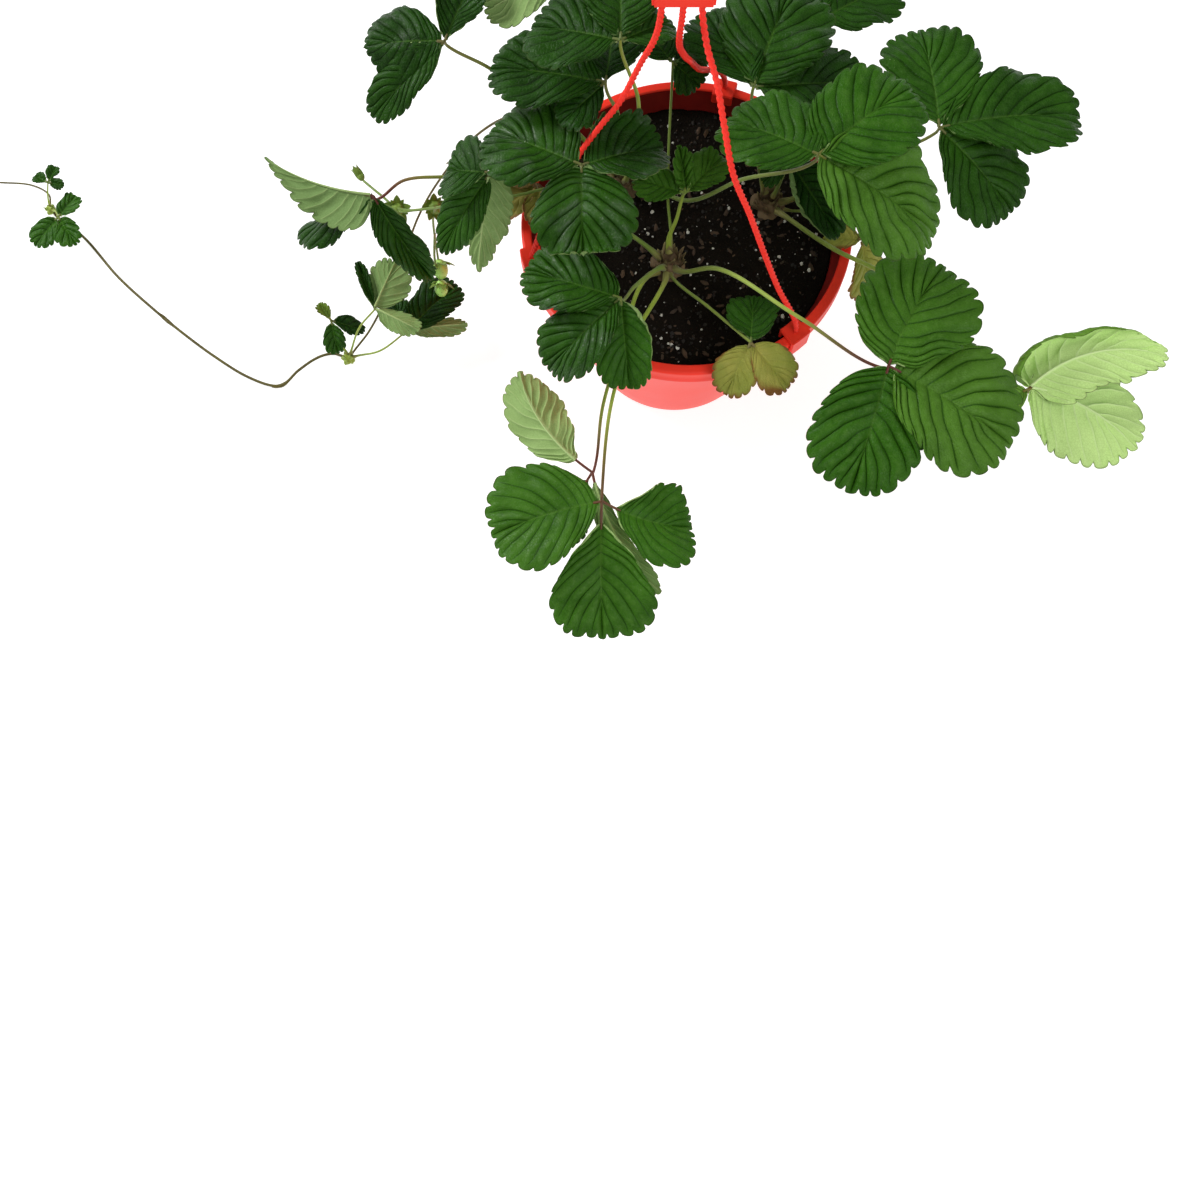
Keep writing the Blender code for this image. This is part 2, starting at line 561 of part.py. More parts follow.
def leaflet_rows(hub, leaflet):
    """(left, middle, right) points from the base to near the tip, and the tip."""
    heading, rise, length, width, roll, droop, fold = leaflet
    forward, left, _ = leaflet_frame(heading, rise, roll)
    middle = hub + forward * HUB_RADIUS
    rows = [(middle + left * PETIOLULE_HALF_WIDTH, middle, middle - left * PETIOLULE_HALF_WIDTH)]
    lift_left, lift_right = math.radians(fold[0]), math.radians(fold[1])
    before = 0.0
    for share in BLADE_STATIONS + (1.0,):
        forward, left, up = leaflet_frame(heading, rise - droop * (share + before) / 2, roll)
        middle = middle + forward * length * (share - before)
        before = share
        if share < 1.0:
            half = width / 2 * half_width(share)
            rows.append((middle + half * (left * math.cos(lift_left) + up * math.sin(lift_left)),
                         middle,
                         middle + half * (up * math.sin(lift_right) - left * math.cos(lift_right))))
    return rows, middle


def blade_sheet(bm, hub, leaflets):
    """One open sheet: the leaflets spread around a small hub that joins their bases."""
    ring = []
    leaflets = sorted(leaflets, key=lambda item: item[0] % 360)
    for leaflet, following in zip(leaflets, leaflets[1:] + leaflets[:1]):
        rows, tip = leaflet_rows(hub, leaflet)
        rows = [[bm.verts.new(place) for place in row] for row in rows]
        tip = bm.verts.new(tip)
        for near, far in zip(rows, rows[1:]):
            bm.faces.new((near[0], near[1], far[1], far[0]))
            bm.faces.new((near[1], near[2], far[2], far[1]))
        bm.faces.new((rows[-1][0], rows[-1][1], tip))
        bm.faces.new((rows[-1][1], rows[-1][2], tip))
        ring += [rows[0][2], rows[0][1], rows[0][0]]
        opening = (following[0] - leaflet[0]) % 360
        if opening > WIDE_OPENING:
            for share in (1 / 3, 2 / 3):
                outward = direction(leaflet[0] + opening * share, 0)
                ring.append(bm.verts.new(hub + outward * PETIOLULE_HALF_WIDTH))
    centre = bm.verts.new(hub)
    for first, second in zip(ring, ring[1:] + ring[:1]):
        bm.faces.new((centre, first, second))


def make_blade(name, hub, leaflets, finish):
    bm = bmesh.new()
    blade_sheet(bm, Vector(hub), leaflets)
    blade = add_object(name, mesh_from(bm, name), finish)
    thick = blade.modifiers.new("thickness", "SOLIDIFY")
    thick.thickness = BLADE_THICKNESS
    thick.offset = 0.0
    return blade


def hub_normal(leaflets):
    """The mean of the leaflets' upper sides, which the stalk meets from below."""
    total = Vector((0, 0, 0))
    for heading, rise, _, _, roll, _, _ in leaflets:
        total += leaflet_frame(heading, rise, roll)[2]
    return total.normalized()


def stalk_seat(hub, leaflets):
    """Where a stalk's end stops under the hub, clear of the sheet that slopes away around it."""
    normal = hub_normal(leaflets)
    slopes = [math.degrees(direction(item[0], item[1]).angle(normal)) - 90 for item in leaflets]
    steepest = math.radians(min(max(slopes + [0.0]), STEEPEST_SEAT))
    drop = STALK_TIP * math.tan(steepest)
    return Vector(hub) - normal * (BLADE_THICKNESS / 2 + 2 * GAP + drop), normal


def make_leaf(name, crown, heading, rise, via, hub, leaflets):
    make_blade(name + "_blade", hub, leaflets, leaf_green())
    root, leaving = crown_surface(crown, heading, rise)
    seat, normal = stalk_seat(hub, leaflets)
    route = [root, root + leaving * STALK_RUN] + via + [seat - normal * SEAT_RUN, seat]
    rod_object(name + "_stalk", smooth_path(route, 2), STALK_BASE, STALK_TIP, stalk_green())


def make_small_leaf(name, crown, heading, rise, radius, via, hub, leaflets):
    finish = old_leaf_brown() if name in DRY_LEAVES else leaf_green()
    blade = make_blade(name, hub, leaflets, finish)
    root, leaving = crown_surface(crown, heading, rise)
    route = [root, root + leaving * 2 * radius] + via + [hub]
    stalk = rod_object(name + "_stalk", smooth_path(route, 2), radius, radius * THIN_STALK_TAPER,
                       stalk_green())
    combine(blade, stalk, "UNION")


# Runners and flower stalks

def make_runners():
    for name, (crown, heading, rise, points, end) in RUNNERS.items():
        root, leaving = crown_surface(crown, heading, rise)
        route = [root, root + leaving * 2 * RUNNER_RADIUS] + points
        if end:
            arrival, outward = crown_surface(*end)
            route += [arrival + outward * 2 * RUNNER_RADIUS, arrival]
        rod_object(name, smooth_path(route, 2), RUNNER_RADIUS, RUNNER_RADIUS, runner_brown())


def bud_mesh(name, middle, heading, rise, size):
    """A bud on a star of five sepals, facing along its heading and rise."""
    bm = bmesh.new()
    facing = direction(heading, rise)
    turn = facing.to_track_quat("Z", "Y").to_matrix()
    corners = []
    for corner in range(10):
        reach = size / 2 * (1.0 if corner % 2 == 0 else SEPAL_NOTCH)
        angle = math.pi * corner / 5
        corners.append(Vector((reach * math.cos(angle), reach * math.sin(angle), 0)))
    star = [bm.verts.new(Vector(middle) + turn @ place) for place in corners]
    front = bm.verts.new(Vector(middle) + facing * size * BUD_FRONT)
    back = bm.verts.new(Vector(middle) - facing * size * BUD_BACK)
    for first, second in zip(star, star[1:] + star[:1]):
        bm.faces.new((first, second, front))
        bm.faces.new((second, first, back))
    return mesh_from(bm, name)


def make_trusses():
    for name, (crown, heading, rise, radius, points, side_stalks, buds) in TRUSSES.items():
        root, leaving = crown_surface(crown, heading, rise)
        route = [root, root + leaving * 2 * radius] + points
        truss = rod_object(name, smooth_path(route, 2), radius, radius, young_green())
        for index, side_points in enumerate(side_stalks):
            side = rod_object(f"{name}_side_{index}", smooth_path(side_points), radius,
                              radius * THIN_STALK_TAPER, young_green())
            combine(truss, side, "UNION")
        for index, bud in enumerate(buds):
            bud_name = f"{name}_bud_{index}"
            combine(truss, add_object(bud_name, bud_mesh(bud_name, *bud), young_green()), "UNION")


clear_scene()
make_pot()
make_soil()
make_crowns()
make_hanger_hook()
make_strands()
for leaf_name, leaf in LEAVES.items():
    make_leaf(leaf_name, *leaf)
for leaf_name, leaf in SMALL_LEAVES.items():
    make_small_leaf(leaf_name, *leaf)
make_runners()
make_trusses()
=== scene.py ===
"""Looks of the strawberry plant in its red hanging pot: toothed and veined leaves, stalks and
runners, scaly crowns, soil with perlite and bark, and the moulded pot with its slack hanger.

Metres and +Z up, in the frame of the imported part, but the tables of places are in millimetres.
Headings are degrees anticlockwise from +X, and a rise is degrees above the horizontal.
"""

import math
import random

import bmesh
import bpy
import numpy as np
from mathutils import Matrix, Vector, noise
from mathutils.geometry import interpolate_bezier


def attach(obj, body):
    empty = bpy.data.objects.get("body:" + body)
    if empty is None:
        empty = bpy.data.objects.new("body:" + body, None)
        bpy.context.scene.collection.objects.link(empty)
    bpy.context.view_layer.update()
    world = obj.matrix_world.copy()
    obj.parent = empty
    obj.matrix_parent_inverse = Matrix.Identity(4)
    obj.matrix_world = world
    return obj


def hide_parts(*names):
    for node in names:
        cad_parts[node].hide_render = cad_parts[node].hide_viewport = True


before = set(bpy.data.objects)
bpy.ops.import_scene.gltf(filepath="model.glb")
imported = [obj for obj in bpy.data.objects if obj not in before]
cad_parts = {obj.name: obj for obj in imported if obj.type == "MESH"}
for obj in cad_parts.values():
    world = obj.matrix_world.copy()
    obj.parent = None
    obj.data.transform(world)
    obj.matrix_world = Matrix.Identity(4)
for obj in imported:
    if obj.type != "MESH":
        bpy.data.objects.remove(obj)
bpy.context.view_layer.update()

GAP = 0.0003
SPAN_POINTS = 25

# Pot
RIM_RADIUS = 0.105
POT_HEIGHT = 0.15
BASE_RADIUS = 0.063
WALL = 0.0018
FLOOR_THICKNESS = 0.0024
RIM_BAND = 0.0065
SKIRT_HEIGHT = 0.012
DRAIN_HOLES = 8
DRAIN_RADIUS = 0.0045
DRAIN_CIRCLE = 0.046
POT_SIDES = 144
INSIDE_RINGS = 12

# Soil
SOIL_LEVEL = 0.135
SOIL_LUMPS = 0.0035
SOIL_LUMP_SIZE = 0.022
SOIL_SIDES = 168
SOIL_RINGS = 60
SOIL_CRUMBS = ((0.0011, 0.0045), (0.0006, 0.0018))  # height and size
SOIL_DIP = 0.0015

# Perlite, bark and crumbs of peat on the soil: the number of grains, the least and most radius, the
# stretch, the unevenness and the detail.
GRAINS = (
    (210, 0.0003, 0.0014, (1, 0.85, 0.75), 0.7, 2),
    (230, 0.001, 0.0034, (1, 0.45, 0.28), 0.5, 2),
    (900, 0.0005, 0.0016, (1, 0.8, 0.7), 0.8, 1),
)

# Hanger
HANGER_TOP = Vector((-0.0145, 0.004, 0.333))
HANGER_BAR = (0.031, 0.005, 0.011)
HANGER_BAR_ROUNDING = 0.0012
HOOK_RADIUS = 0.012
HOOK_WIRE = 0.0022
HOOK_SHANK = 0.034
STRAND_RADIUS = 0.00175
STRAND_RUN = 0.006
STRAND_LOBES = 3
STRAND_TWIST = 0.0096
STRAND_STEP = 0.0007
STRAND_CORE = 0.86
STRAND_LOBE_HEIGHT = 0.24
CLIP_LENGTH = 0.015
CLIP_OUTER_DEPTH = 0.013
CLIP_INNER_DEPTH = 0.006
CLIP_WALL = 0.0022
CLIP_RUN = 0.01
CLIP_LEAN = 0.003
CLIP_ROUNDING = 0.0006

# Plant
STALK_BASE = 0.0017
STALK_TIP = 0.001
STALK_RUN = 0.008
SEAT_RUN = 0.005
SHEATH_LENGTH = 0.016
SHEATH_SWELL = 1.7
SLIMNESS = 0.9
BUD_LEAN = 4.0
SEEDS = 34
SEED_TURN = 2.39996
SEED_RADIUS = 0.00028
SCALE_TURN = 137.5
SCALE_ROWS = 7
SCALE_THICKNESS = 0.0003
BLADE_THICKNESS = 0.00042
HUB_RADIUS = 0.0008
STALKLET_RADIUS = 0.0009
STALKLET_TAPER = [0.00088, 0.00085, 0.0008, 0.0006]
STALKLET_SINK = 0.0004
MIDRIB_TAPER = 0.0007
MIDRIB_TIP = 0.00015
BASE_WEDGE = 0.72
TIP_ROUNDING = 0.46
RUNNER_RADIUS = 0.0009
BRACT_LENGTH = 0.008
BRACT_WIDTH = 0.003
STEM_STEP = 0.0018
STALK_STEP = 0.0025
RUNNER_SHARES = {"runner_1": 0.92, "runner_2": 1.15, "runner_3": 0.75}
ON_FLOOR = RUNNER_RADIUS + 3 * GAP

# Leaflets: where the teeth begin along the margin, and how the ribs and teeth are shaped.
TOOTHED_FROM = 0.24
RIBS_FROM = 0.02
RIBS_TO = 0.72
RIBS_CROWDING = 1.3
TOOTH_DEPTH = 0.055
RIB_BEND = 0.07
QUILTING = 0.25
MIDRIB_GROOVE = 0.0009
MIDRIB_GROOVE_WIDTH = 0.0016
MARGIN_SINK = 0.0006
PUFF_SIZE = 0.016
STEPS_PER_TOOTH = 8
BASE_STEPS = 9
RIB_STATIONS = np.array([0.0, 0.04, 0.11, 0.2, 0.31, 0.43, 0.55, 0.66, 0.76, 0.85, 0.92, 0.97, 1.0])

# How far a leaflet wanders along and across its midrib and rises, each with the size of the ripples,
# and how far from the midrib it is free to.
WANDER_ALONG, WANDER_ALONG_SIZE = 0.0009, 0.014
WANDER_ACROSS, WANDER_ACROSS_SIZE = 0.0007, 0.012
RISES = ((0.0008, 0.011), (0.00035, 0.0035))
FREE_FROM = 0.004

# Stage: each light's name, place, size and power, and the camera, whose lens and sensor are in
# millimetres.
LIGHTS = (
    ("key_light", (-1.3, 0.7, 1.1), 0.8, 30.0),
    ("fill_light", (0.7, -1.0, 1.6), 1.4, 19.0),
)
SKY_LIGHT = 0.3
FLOOR_SIZE = 8.0
FLOOR_GLOW = 0.8
CAMERA_PLACE = (-0.055, -0.416, 0.793)
CAMERA_RISE = -75.3
LENS = 34.5
SENSOR = 36.0

# Crowns: the middle and the radius of each, in millimetres as in all the tables below.
CROWNS = {
    "crown_front": ((-11, -24, 137.5), 11),
    "crown_right": ((54, 20, 137.5), 11),
    "crown_back": ((-40, 36, 137.5), 11),
    "plantlet_1_crown": ((-243, -22, 5.3), 5),
    "plantlet_2_crown": ((-482, 105, 4.3), 4),
}

# Each leaf: the crown it grows from, the heading and rise at which its stalk leaves the crown, the
# places that the stalk passes and last the hub where the leaflets meet, how light its blades and
# its stalk are and how red the stalk is near the hub (each 0 to 1), and its leaflets. A leaflet has
# its heading, rise, length, width, roll (left side up), droop (bend down from base to tip) and fold
# (how far both halves rise, or the left and the right one), and then, by name, whatever differs
# from a plain leaflet, as add_leaflet says.
LEAVES = {
    "leaf_a": ("crown_front", 165, 48, [(-52, -15, 182), (-65.5, -12.5, 226)], 0.1, 0.3, 0.4, [
        (153, 5, 60, 56, 0, 22, 6, dict(curl=(-30, -24), broad=1.18, flat=1.7, tone=0.15, gloss=1)),
        (-89, -8, 54, 62, 0, 30, 4, dict(tip=165, bare=1, wedge=0.6, flat=1.7, gloss=0.8)),
        (20, 0, 50, 44, -10, 14, (16, 8), dict(curl=(70, 10), broad=1.2, tone=0.05, gloss=0.5))]),
    "leaf_b": ("crown_front", 235, 50, [(-34, -58, 172), (-43, -77, 192)], 0.15, 0.5, 0.2, [
        (158, 0, 62, 46, -6, 14, 10, dict(curl=(-34, -20), bare=1, flat=1.6, gloss=1)),
        (-142, -12, 60, 46, 6, 24, 10, dict(bare=1, flat=1.5, gloss=0.6)),
        (-84, -14, 52, 40, 10, 20, 8, dict(curl=(110, -14), flat=0.6, tone=0.3))]),
    "leaf_c": ("crown_front", 95, 60, [(-8, -10, 168), (-4, -6, 190)], 0.44, 0.9, 0, [
        (166, 14, 32, 30, 0, 16, 10, dict(broad=0.9, flat=0.6)),
        (46, 12, 33, 30, 0, 16, 12, dict(broad=0.85, flat=0.6)),
        (110, 62, 28, 20, 0, 10, 55, dict(bare=1))]),
    "leaf_d": ("crown_back", 328, 34, [(-2, 2, 170), (26, -18, 220), (59, -39, 272)], 0.28, 0.4, 0.4, [
        (147, -2, 56, 54, 0, 18, 6, dict(bare=0, wedge=0.56, tone=0.25)),
        (41, 4, 70, 60, 0, 16, 5, dict(bare=0, wedge=0.54, tone=0.27)),
        (-22, -12, 80, 70, 0, 22, 4, dict(bare=0, wedge=0.54, flat=1.6, tone=0.5))]),
    "leaf_e": ("crown_right", 345, 42, [(96, 12, 190), (139, 12, 226)], 0.17, 0.4, 0.4, [
        (93, 2, 72, 60, 0, 12, 6, dict(wedge=0.8)),
        (11, 0, 88, 60, 0, 12, 8, dict(swerve=-12, tone=0.19)),
        (-38, -16, 66, 60, 0, 14, 6, dict(swerve=-10, tone=0.13))]),
    "leaf_f": ("crown_front", 300, 45, [(16, -55, 186), (57, -101, 212), (107, -125, 202)], 0.5, 0.8, 1, [
        (62, 4, 74, 76, 0, 10, 5, dict(swerve=-22, bare=0, broad=0.95, wedge=0.58, flat=1.2)),
        (-106, -16, 74, 66, 0, 16, 6, dict(bare=0, wedge=0.6, flat=1.2, tone=0.37)),
        (-27, -8, 86, 78, 0, 14, 4, dict(swerve=-10, bare=3, wedge=0.6, flat=1.2))]),
    "leaf_g": ("crown_right", 300, 32, [(88, -29, 166), (118, -54, 176), (202, -119, 160)], 1, 0.7, 0.6, [
        (18, 6, 90, 56, -20, 10, -6,
         dict(under=True, curl=(215, -14), swerve=-60, bare=0, broad=0.95, wedge=0.24, blush=1)),
        (-24, -6, 76, 66, 0, 10, -8, dict(under=True, swerve=-34, bare=0, broad=1.1, wedge=0.42)),
        (-160, -16, 46, 40, 0, 20, 10)]),
    "leaf_j": ("crown_front", 258, 28, [(-37, -90, 159), (-49, -134, 163), (-54, -184, 142)],
        0.42, 1, 0.9, [
        (-166, -2, 70, 70, 0, 14, 6, dict(swerve=10, bare=1, flat=0.7)),
        (-90, -16, 84, 66, 0, 14, 8, dict(bare=12, wedge=1.1, flat=0.7, tone=0.37)),
        (-13, -8, 60, 56, 0, 18, 6,
         dict(curl=(40, -20), swerve=34, bare=9, wedge=1, flat=0.5, tone=0.4))]),
    "leaf_k": ("crown_front", 218, 20, [(-41, -86, 157), (-53, -126, 153), (-60, -158, 122)],
        0.28, 1, 1, [
        (128, 10, 84, 38, -30, 20, (-10, -56),
         dict(under=True, curl=(-10, -30), swerve=-40, bare=12, broad=1.2, blush=1)),
        (-62, -14, 88, 30, -10, 10, -10, dict(under=True, swerve=40, bare=6, broad=0.65, tone=0.1)),
        (-130, -40, 56, 40, 0, 10, 10, dict(bare=6, tone=0.05))]),
    "leaf_l": ("crown_back", 158, 52, [(-84, 50, 192), (-121, 56, 222), (-144, 60, 238)],
        0.03, 0.6, 0.5, [
        (174, -2, 50, 50, 0, 20, (-44, 8), dict(curl=-30)),
        (-155, -30, 64, 28, -20, 10, 10, dict(curl=(-20, -40))),
        (68, 14, 50, 34, 0, 20, 20, dict(curl=(50, 10)))]),
    "leaf_m": ("crown_back", 95, 68, [(-44, 40, 200), (-52, 28, 244)], 0.03, 0.6, 0.4, [
        (166, 0, 68, 42, -6, 14, 8, dict(curl=-24, broad=1.15)),
        (-142, -10, 34, 28, 0, 10, 8),
        (84, -6, 55, 42, 0, 20, 8)]),
    "leaf_n": ("crown_back", 285, 66, [(-33, 27.5, 228), (-44, 30, 274)], 0.07, 0.95, 0.2, [
        (158, -6, 54, 56, 0, 14, 6, dict(wedge=0.6)),
        (34, -6, 34, 32, 0, 12, 8),
        (90, 8, 56, 50, 0, 20, 6)]),
    "leaf_o": ("crown_back", 128, 40, [(-76, 70, 200), (-80, 94, 246)], 0.15, 0.4, 0.3, [
        (-164, -8, 44, 42, 0, 14, 8, dict(under=True)),
        (104, -10, 60, 50, 0, 24, 6),
        (34, -10, 50, 42, 0, 20, 8)]),
    "leaf_p": ("crown_right", 130, 60, [(36, 26, 205), (30, 20, 250)], 0.1, 0.5, 0.2, [
        (114, 0, 62, 42, 0, 14, 6, dict(tone=0.04)),
        (71, 2, 78, 66, 0, 14, 5, dict(wedge=0.6, flat=1.6, gloss=0.4)),
        (14, -8, 74, 58, 0, 12, 6, dict(wedge=0.6, tone=0.04))]),
    "leaf_r": ("crown_back", 205, 34, [(-88, 8, 188), (-119, -5, 208)], 0.06, 0.6, 0.5, [
        (162, -10, 31, 46, 0, 20, 10),
        (-142, -38, 61, 34, -10, 14, 10, dict(curl=-24, broad=0.85, point=0.7, tone=0.11)),
        (-116, -62, 70, 36, 0, 8, -10,
         dict(under=True, curl=(-80, 20), wedge=0.36, point=0.9, tone=0.16))]),
    "leaf_s": ("crown_back", 180, 28, [(-104, 24, 168), (-150, 16, 174), (-176, 14, 173), (-195, 6, 168)],
        0.06, 0.9, 1, [
        (160, 0, 78, 38, 0, 6, (-10, -70),
         dict(under=True, curl=(-10, -30), swerve=-34, broad=1.3, wedge=0.22, point=1.25, tone=0.05)),
        (-42, -50, 68, 30, 0, 10, (50, 4),
         dict(curl=(60, -20), swerve=30, broad=0.9, wedge=0.5, point=0.7)),
        (-179, -27, 66, 44, 0, 10, (6, -40), dict(curl=-30, broad=1.1))]),
    "leaf_y": ("crown_right", 62, 45, [(67, 64, 192), (73, 92, 216)], 0.12, 0.4, 0.3, [
        (100, 0, 60, 50, 0, 20, 6),
        (34, 2, 62, 50, 0, 16, 6),
        (150, 2, 48, 34, 0, 20, 8)]),
}

# Small leaves, each one piece with its thin stalk: as above, with the stalk's radius after the rise.
SMALL_LEAVES = {
    "leaf_i": ("crown_front", 275, 32, 1.2, [(12, -66, 160), (35, -93, 168)], 0.18, 0.6, 0.1, [
        (84, 0, 34, 32, 0, 12, 6, dict(flat=0.7)),
        (-118, -14, 34, 28, 0, 24, 6, dict(flat=0.6, age=0.75)),
        (-44, -10, 36, 30, 0, 22, 6, dict(flat=0.6, age=0.8))]),
    "leaf_q": ("crown_front", 84, 26, 1.1, [(-12, 16, 153), (-10, 86, 190)], 0.04, 0.4, 0.2, [
        (126, 4, 38, 34, 0, 16, 8),
        (-36, -10, 22, 19, 0, 16, 8, dict(broad=1.6)),
        (40, 0, 20, 16, 0, 16, 8, dict(broad=1.6))]),
    "leaf_z": ("crown_right", 5, 80, 1.4, [(58, 12, 196)], 0.04, 0.4, 0.2, [
        (-50, -18, 54, 40, 0, 12, 10, dict(curl=(-16, 120))),
        (64, -4, 40, 34, 0, 16, 8),
        (-150, -20, 20, 16, 0, 20, 8)]),
    "old_leaf": ("crown_right", 335, 14, 1, [(90, 0, 158), (109, -16, 156)], 0.4, 0.5, 0.5, [
        (-64, -46, 44, 30, -10, 30, 4, dict(age=0.85)),
        (176, 0, 24, 18, 0, 4, 6, dict(age=0.8)),
        (40, -20, 20, 18, 0, 10, 6, dict(age=1))]),
    "dead_leaf": ("crown_back", 192, 10, 1, [(-72, 28, 151), (-89, 21, 154), (-94, 19, 162)],
        0.4, 0.3, 1, [
        (-150, -6, 32, 26, 0, 26, 12, dict(curl=60, age=1.12)),
        (160, -4, 26, 20, 0, 30, 12, dict(curl=(80, 40), age=1.2)),
        (-90, 0, 28, 18, 0, 10, 12, dict(curl=60, age=1.1))]),
    "plantlet_1_leaf_1": ("plantlet_1_crown", 40, 62, 0.9, [(-230, -12, 34), (-216, -6, 50)],
        0.14, 0.8, 0.2, [
        (60, 30, 37, 30, 0, 10, -8, dict(under=True, broad=1.15)),
        (110, 24, 35, 12, 0, 10, 50, dict(tone=0.05)),
        (-30, 10, 38, 22, 0, 10, -20, dict(under=True, broad=0.85, tone=0.18))]),
    "plantlet_1_leaf_2": ("plantlet_1_crown", 0, 30, 0.9, [(-216, -24, 22), (-196, -14, 32)],
        0.03, 0.8, 0.2, [
        (49, 6, 54, 34, 0, 20, 10, dict(tone=0)),
        (11, -4, 44, 17, 0, 6, -20, dict(under=True, tone=0.2)),
        (112, 0, 30, 22, 0, 16, 10)]),
    "plantlet_1_young_leaf": ("plantlet_1_crown", 120, 60, 0.9, [(-250, -12, 22), (-252, -4, 30)],
        0.6, 0.8, 0.3, [
        (128, 40, 14, 9, 0, 10, 40, dict(broad=1.3, age=0.4)),
        (-80, -20, 24, 18, 0, 20, 10, dict(tone=0.08)),
        (-4, -20, 26, 14, 0, 20, 10, dict(tone=0.06))]),
    "plantlet_2_leaf_1": ("plantlet_2_crown", 320, 36, 0.7, [(-474, 98, 12), (-470, 91, 16)],
        0.26, 0.8, 0.2, [
        (-130, -6, 28, 24, 0, 10, 8),
        (-56, -2, 26, 22, 0, 10, 8),
        (60, 4, 22, 18, 0, 10, 8)]),
    "plantlet_2_leaf_2": ("plantlet_2_crown", 84, 66, 0.7, [(-480, 110, 16), (-478, 117, 22)],
        0.1, 0.9, 0.2, [
        (150, 10, 12, 9, 0, 10, 8, dict(broad=1.2)),
        (70, 12, 14, 10, 0, 10, 8, dict(broad=1.2)),
        (-10, 4, 12, 9, 0, 10, 8, dict(broad=1.2))]),
}

# Strands of the hanger: the start along the bar, the clip's heading, and the points on the way.
STRANDS = {
    "hanger_strand_left": (-10.5, 195, [(-27, 5, 305), (-34, 7, 283), (-44, 4, 258), (-55.5, 1, 240),
        (-66.5, -4.8, 225), (-78, -16, 203), (-91, -23, 175)]),
    "hanger_strand_right": (9.5, 310, [(-2, -8, 313), (3, -21, 305), (8, -35, 290), (14, -50, 272),
        (26, -57, 245), (38, -63, 215), (50, -69, 187)]),
    "hanger_strand_back": (0, 75, [(-14.5, 8, 298), (-10, 24, 270), (-3, 46, 238), (4, 60, 215),
        (13, 76, 195), (21, 88, 178)]),
}

# Runners: the crown, heading and rise of the start, the points passed (those without a height lie on
# the floor), the crown, heading and rise of the end, and the bracts' places as shares of the length.
RUNNERS = {
    "runner_1": ("crown_back", 148, 20, [(-66, 52, 152), (-88, 66, 160), (-108, 76, 153), (-130, 83, 132),
        (-168, 90, 70), (-192, 83, 28), (-206, 62, 6), (-216, 36), (-230, 2)],
        ("plantlet_1_crown", 65, -10), (0.45,)),
    "runner_2": ("plantlet_1_crown", 155, -15, [(-256, -16.5), (-266, -19), (-281, -30), (-293, -42.5),
        (-298, -43), (-318, -36), (-345, -19), (-374, 3), (-399, 24), (-425, 48), (-456, 83)],
        ("plantlet_2_crown", 310, -15), (0.19, 0.55)),
    "runner_3": ("plantlet_2_crown", 110, -15, [(-487, 120), (-500, 128), (-528, 131)], None, ()),
}

# The flower stalk: its crown, heading, rise, radius and points, the points of each side stalk, and
# for each flower head its middle, heading, rise, spread and stage.
TRUSS = (
    "crown_back", 222, 26, 0.9,
    [(-78, 14, 168), (-108, 8, 166), (-138, 12, 154), (-168, 24, 128), (-190, 34, 113), (-204, 48, 108),
     (-218, 63, 103)],
    [[(-150, 15.5, 144.5), (-158, 22, 132), (-165, 29, 122)],
     [(-180, 29, 118.5), (-188, 31, 114), (-192, 37, 110)],
     [(-162, 21.5, 134), (-168, 30, 105), (-170.5, 27, 60)],
     [(-169, 29.8, 90), (-171.5, 22, 70), (-170, 16, 48)]],
    [((-165, 30, 121), -60, 40, 18, "open"),
     ((-192, 37, 108), -70, 50, 18, "open"),
     ((-218, 64, 103), 130, 20, 16, "closed"),
     ((-170, 26, 60), -80, -35, 21, "fruit"),
     ((-169, 16, 49), -100, -40, 18, "fruit")],
)


# Geometry

def metres(place):
    """A place from the tables, as a vector."""
    return Vector([number / 1000 for number in place])


def direction(heading, rise=0.0):
    heading, rise = math.radians(heading), math.radians(rise)
    return Vector((math.cos(heading) * math.cos(rise),
                   math.sin(heading) * math.cos(rise), math.sin(rise)))


def axes(heading, rise, roll):
    """The forward, left and up directions, rolled about forward so that the left side rises."""
    forward, level = direction(heading, rise), direction(heading + 90)
    turn = math.radians(roll)
    left = level * math.cos(turn) + forward.cross(level) * math.sin(turn)
    return forward, left, forward.cross(left)


def even_path(points, step):
    """Points about a step apart on a smooth curve through the given points, whose handles are a
    third of each span."""
    spans = [(end - start).normalized() for start, end in zip(points, points[1:])]
    headings = [spans[0]] + [(one + two).normalized() for one, two in zip(spans, spans[1:])]
    headings.append(spans[-1])
    dense = []
    for start, end, leaving, arriving in zip(points, points[1:], headings, headings[1:]):
        reach = (end - start).length / 3
        dense += interpolate_bezier(start, start + leaving * reach, end - arriving * reach, end,
                                    SPAN_POINTS)[:-1]
    dense = np.array(dense + [points[-1]])
    along = np.append(0.0, np.cumsum(np.linalg.norm(np.diff(dense, axis=0), axis=1)))
    places = np.linspace(0.0, along[-1], max(2, round(along[-1] / step)) + 1)
    return [Vector(spot) for spot in zip(*[np.interp(places, along, column) for column in dense.T])]


def stem_start(crown, heading, rise, radius, run):
    """The first two points of a stem: just inside its seat on the crown, and a run out of it."""
    middle, size = CROWNS[crown]
    leaving = direction(heading, rise)
    seat = metres(middle) + leaving * (size / 1000 + GAP)
    return [seat - leaving * radius, seat + leaving * run]


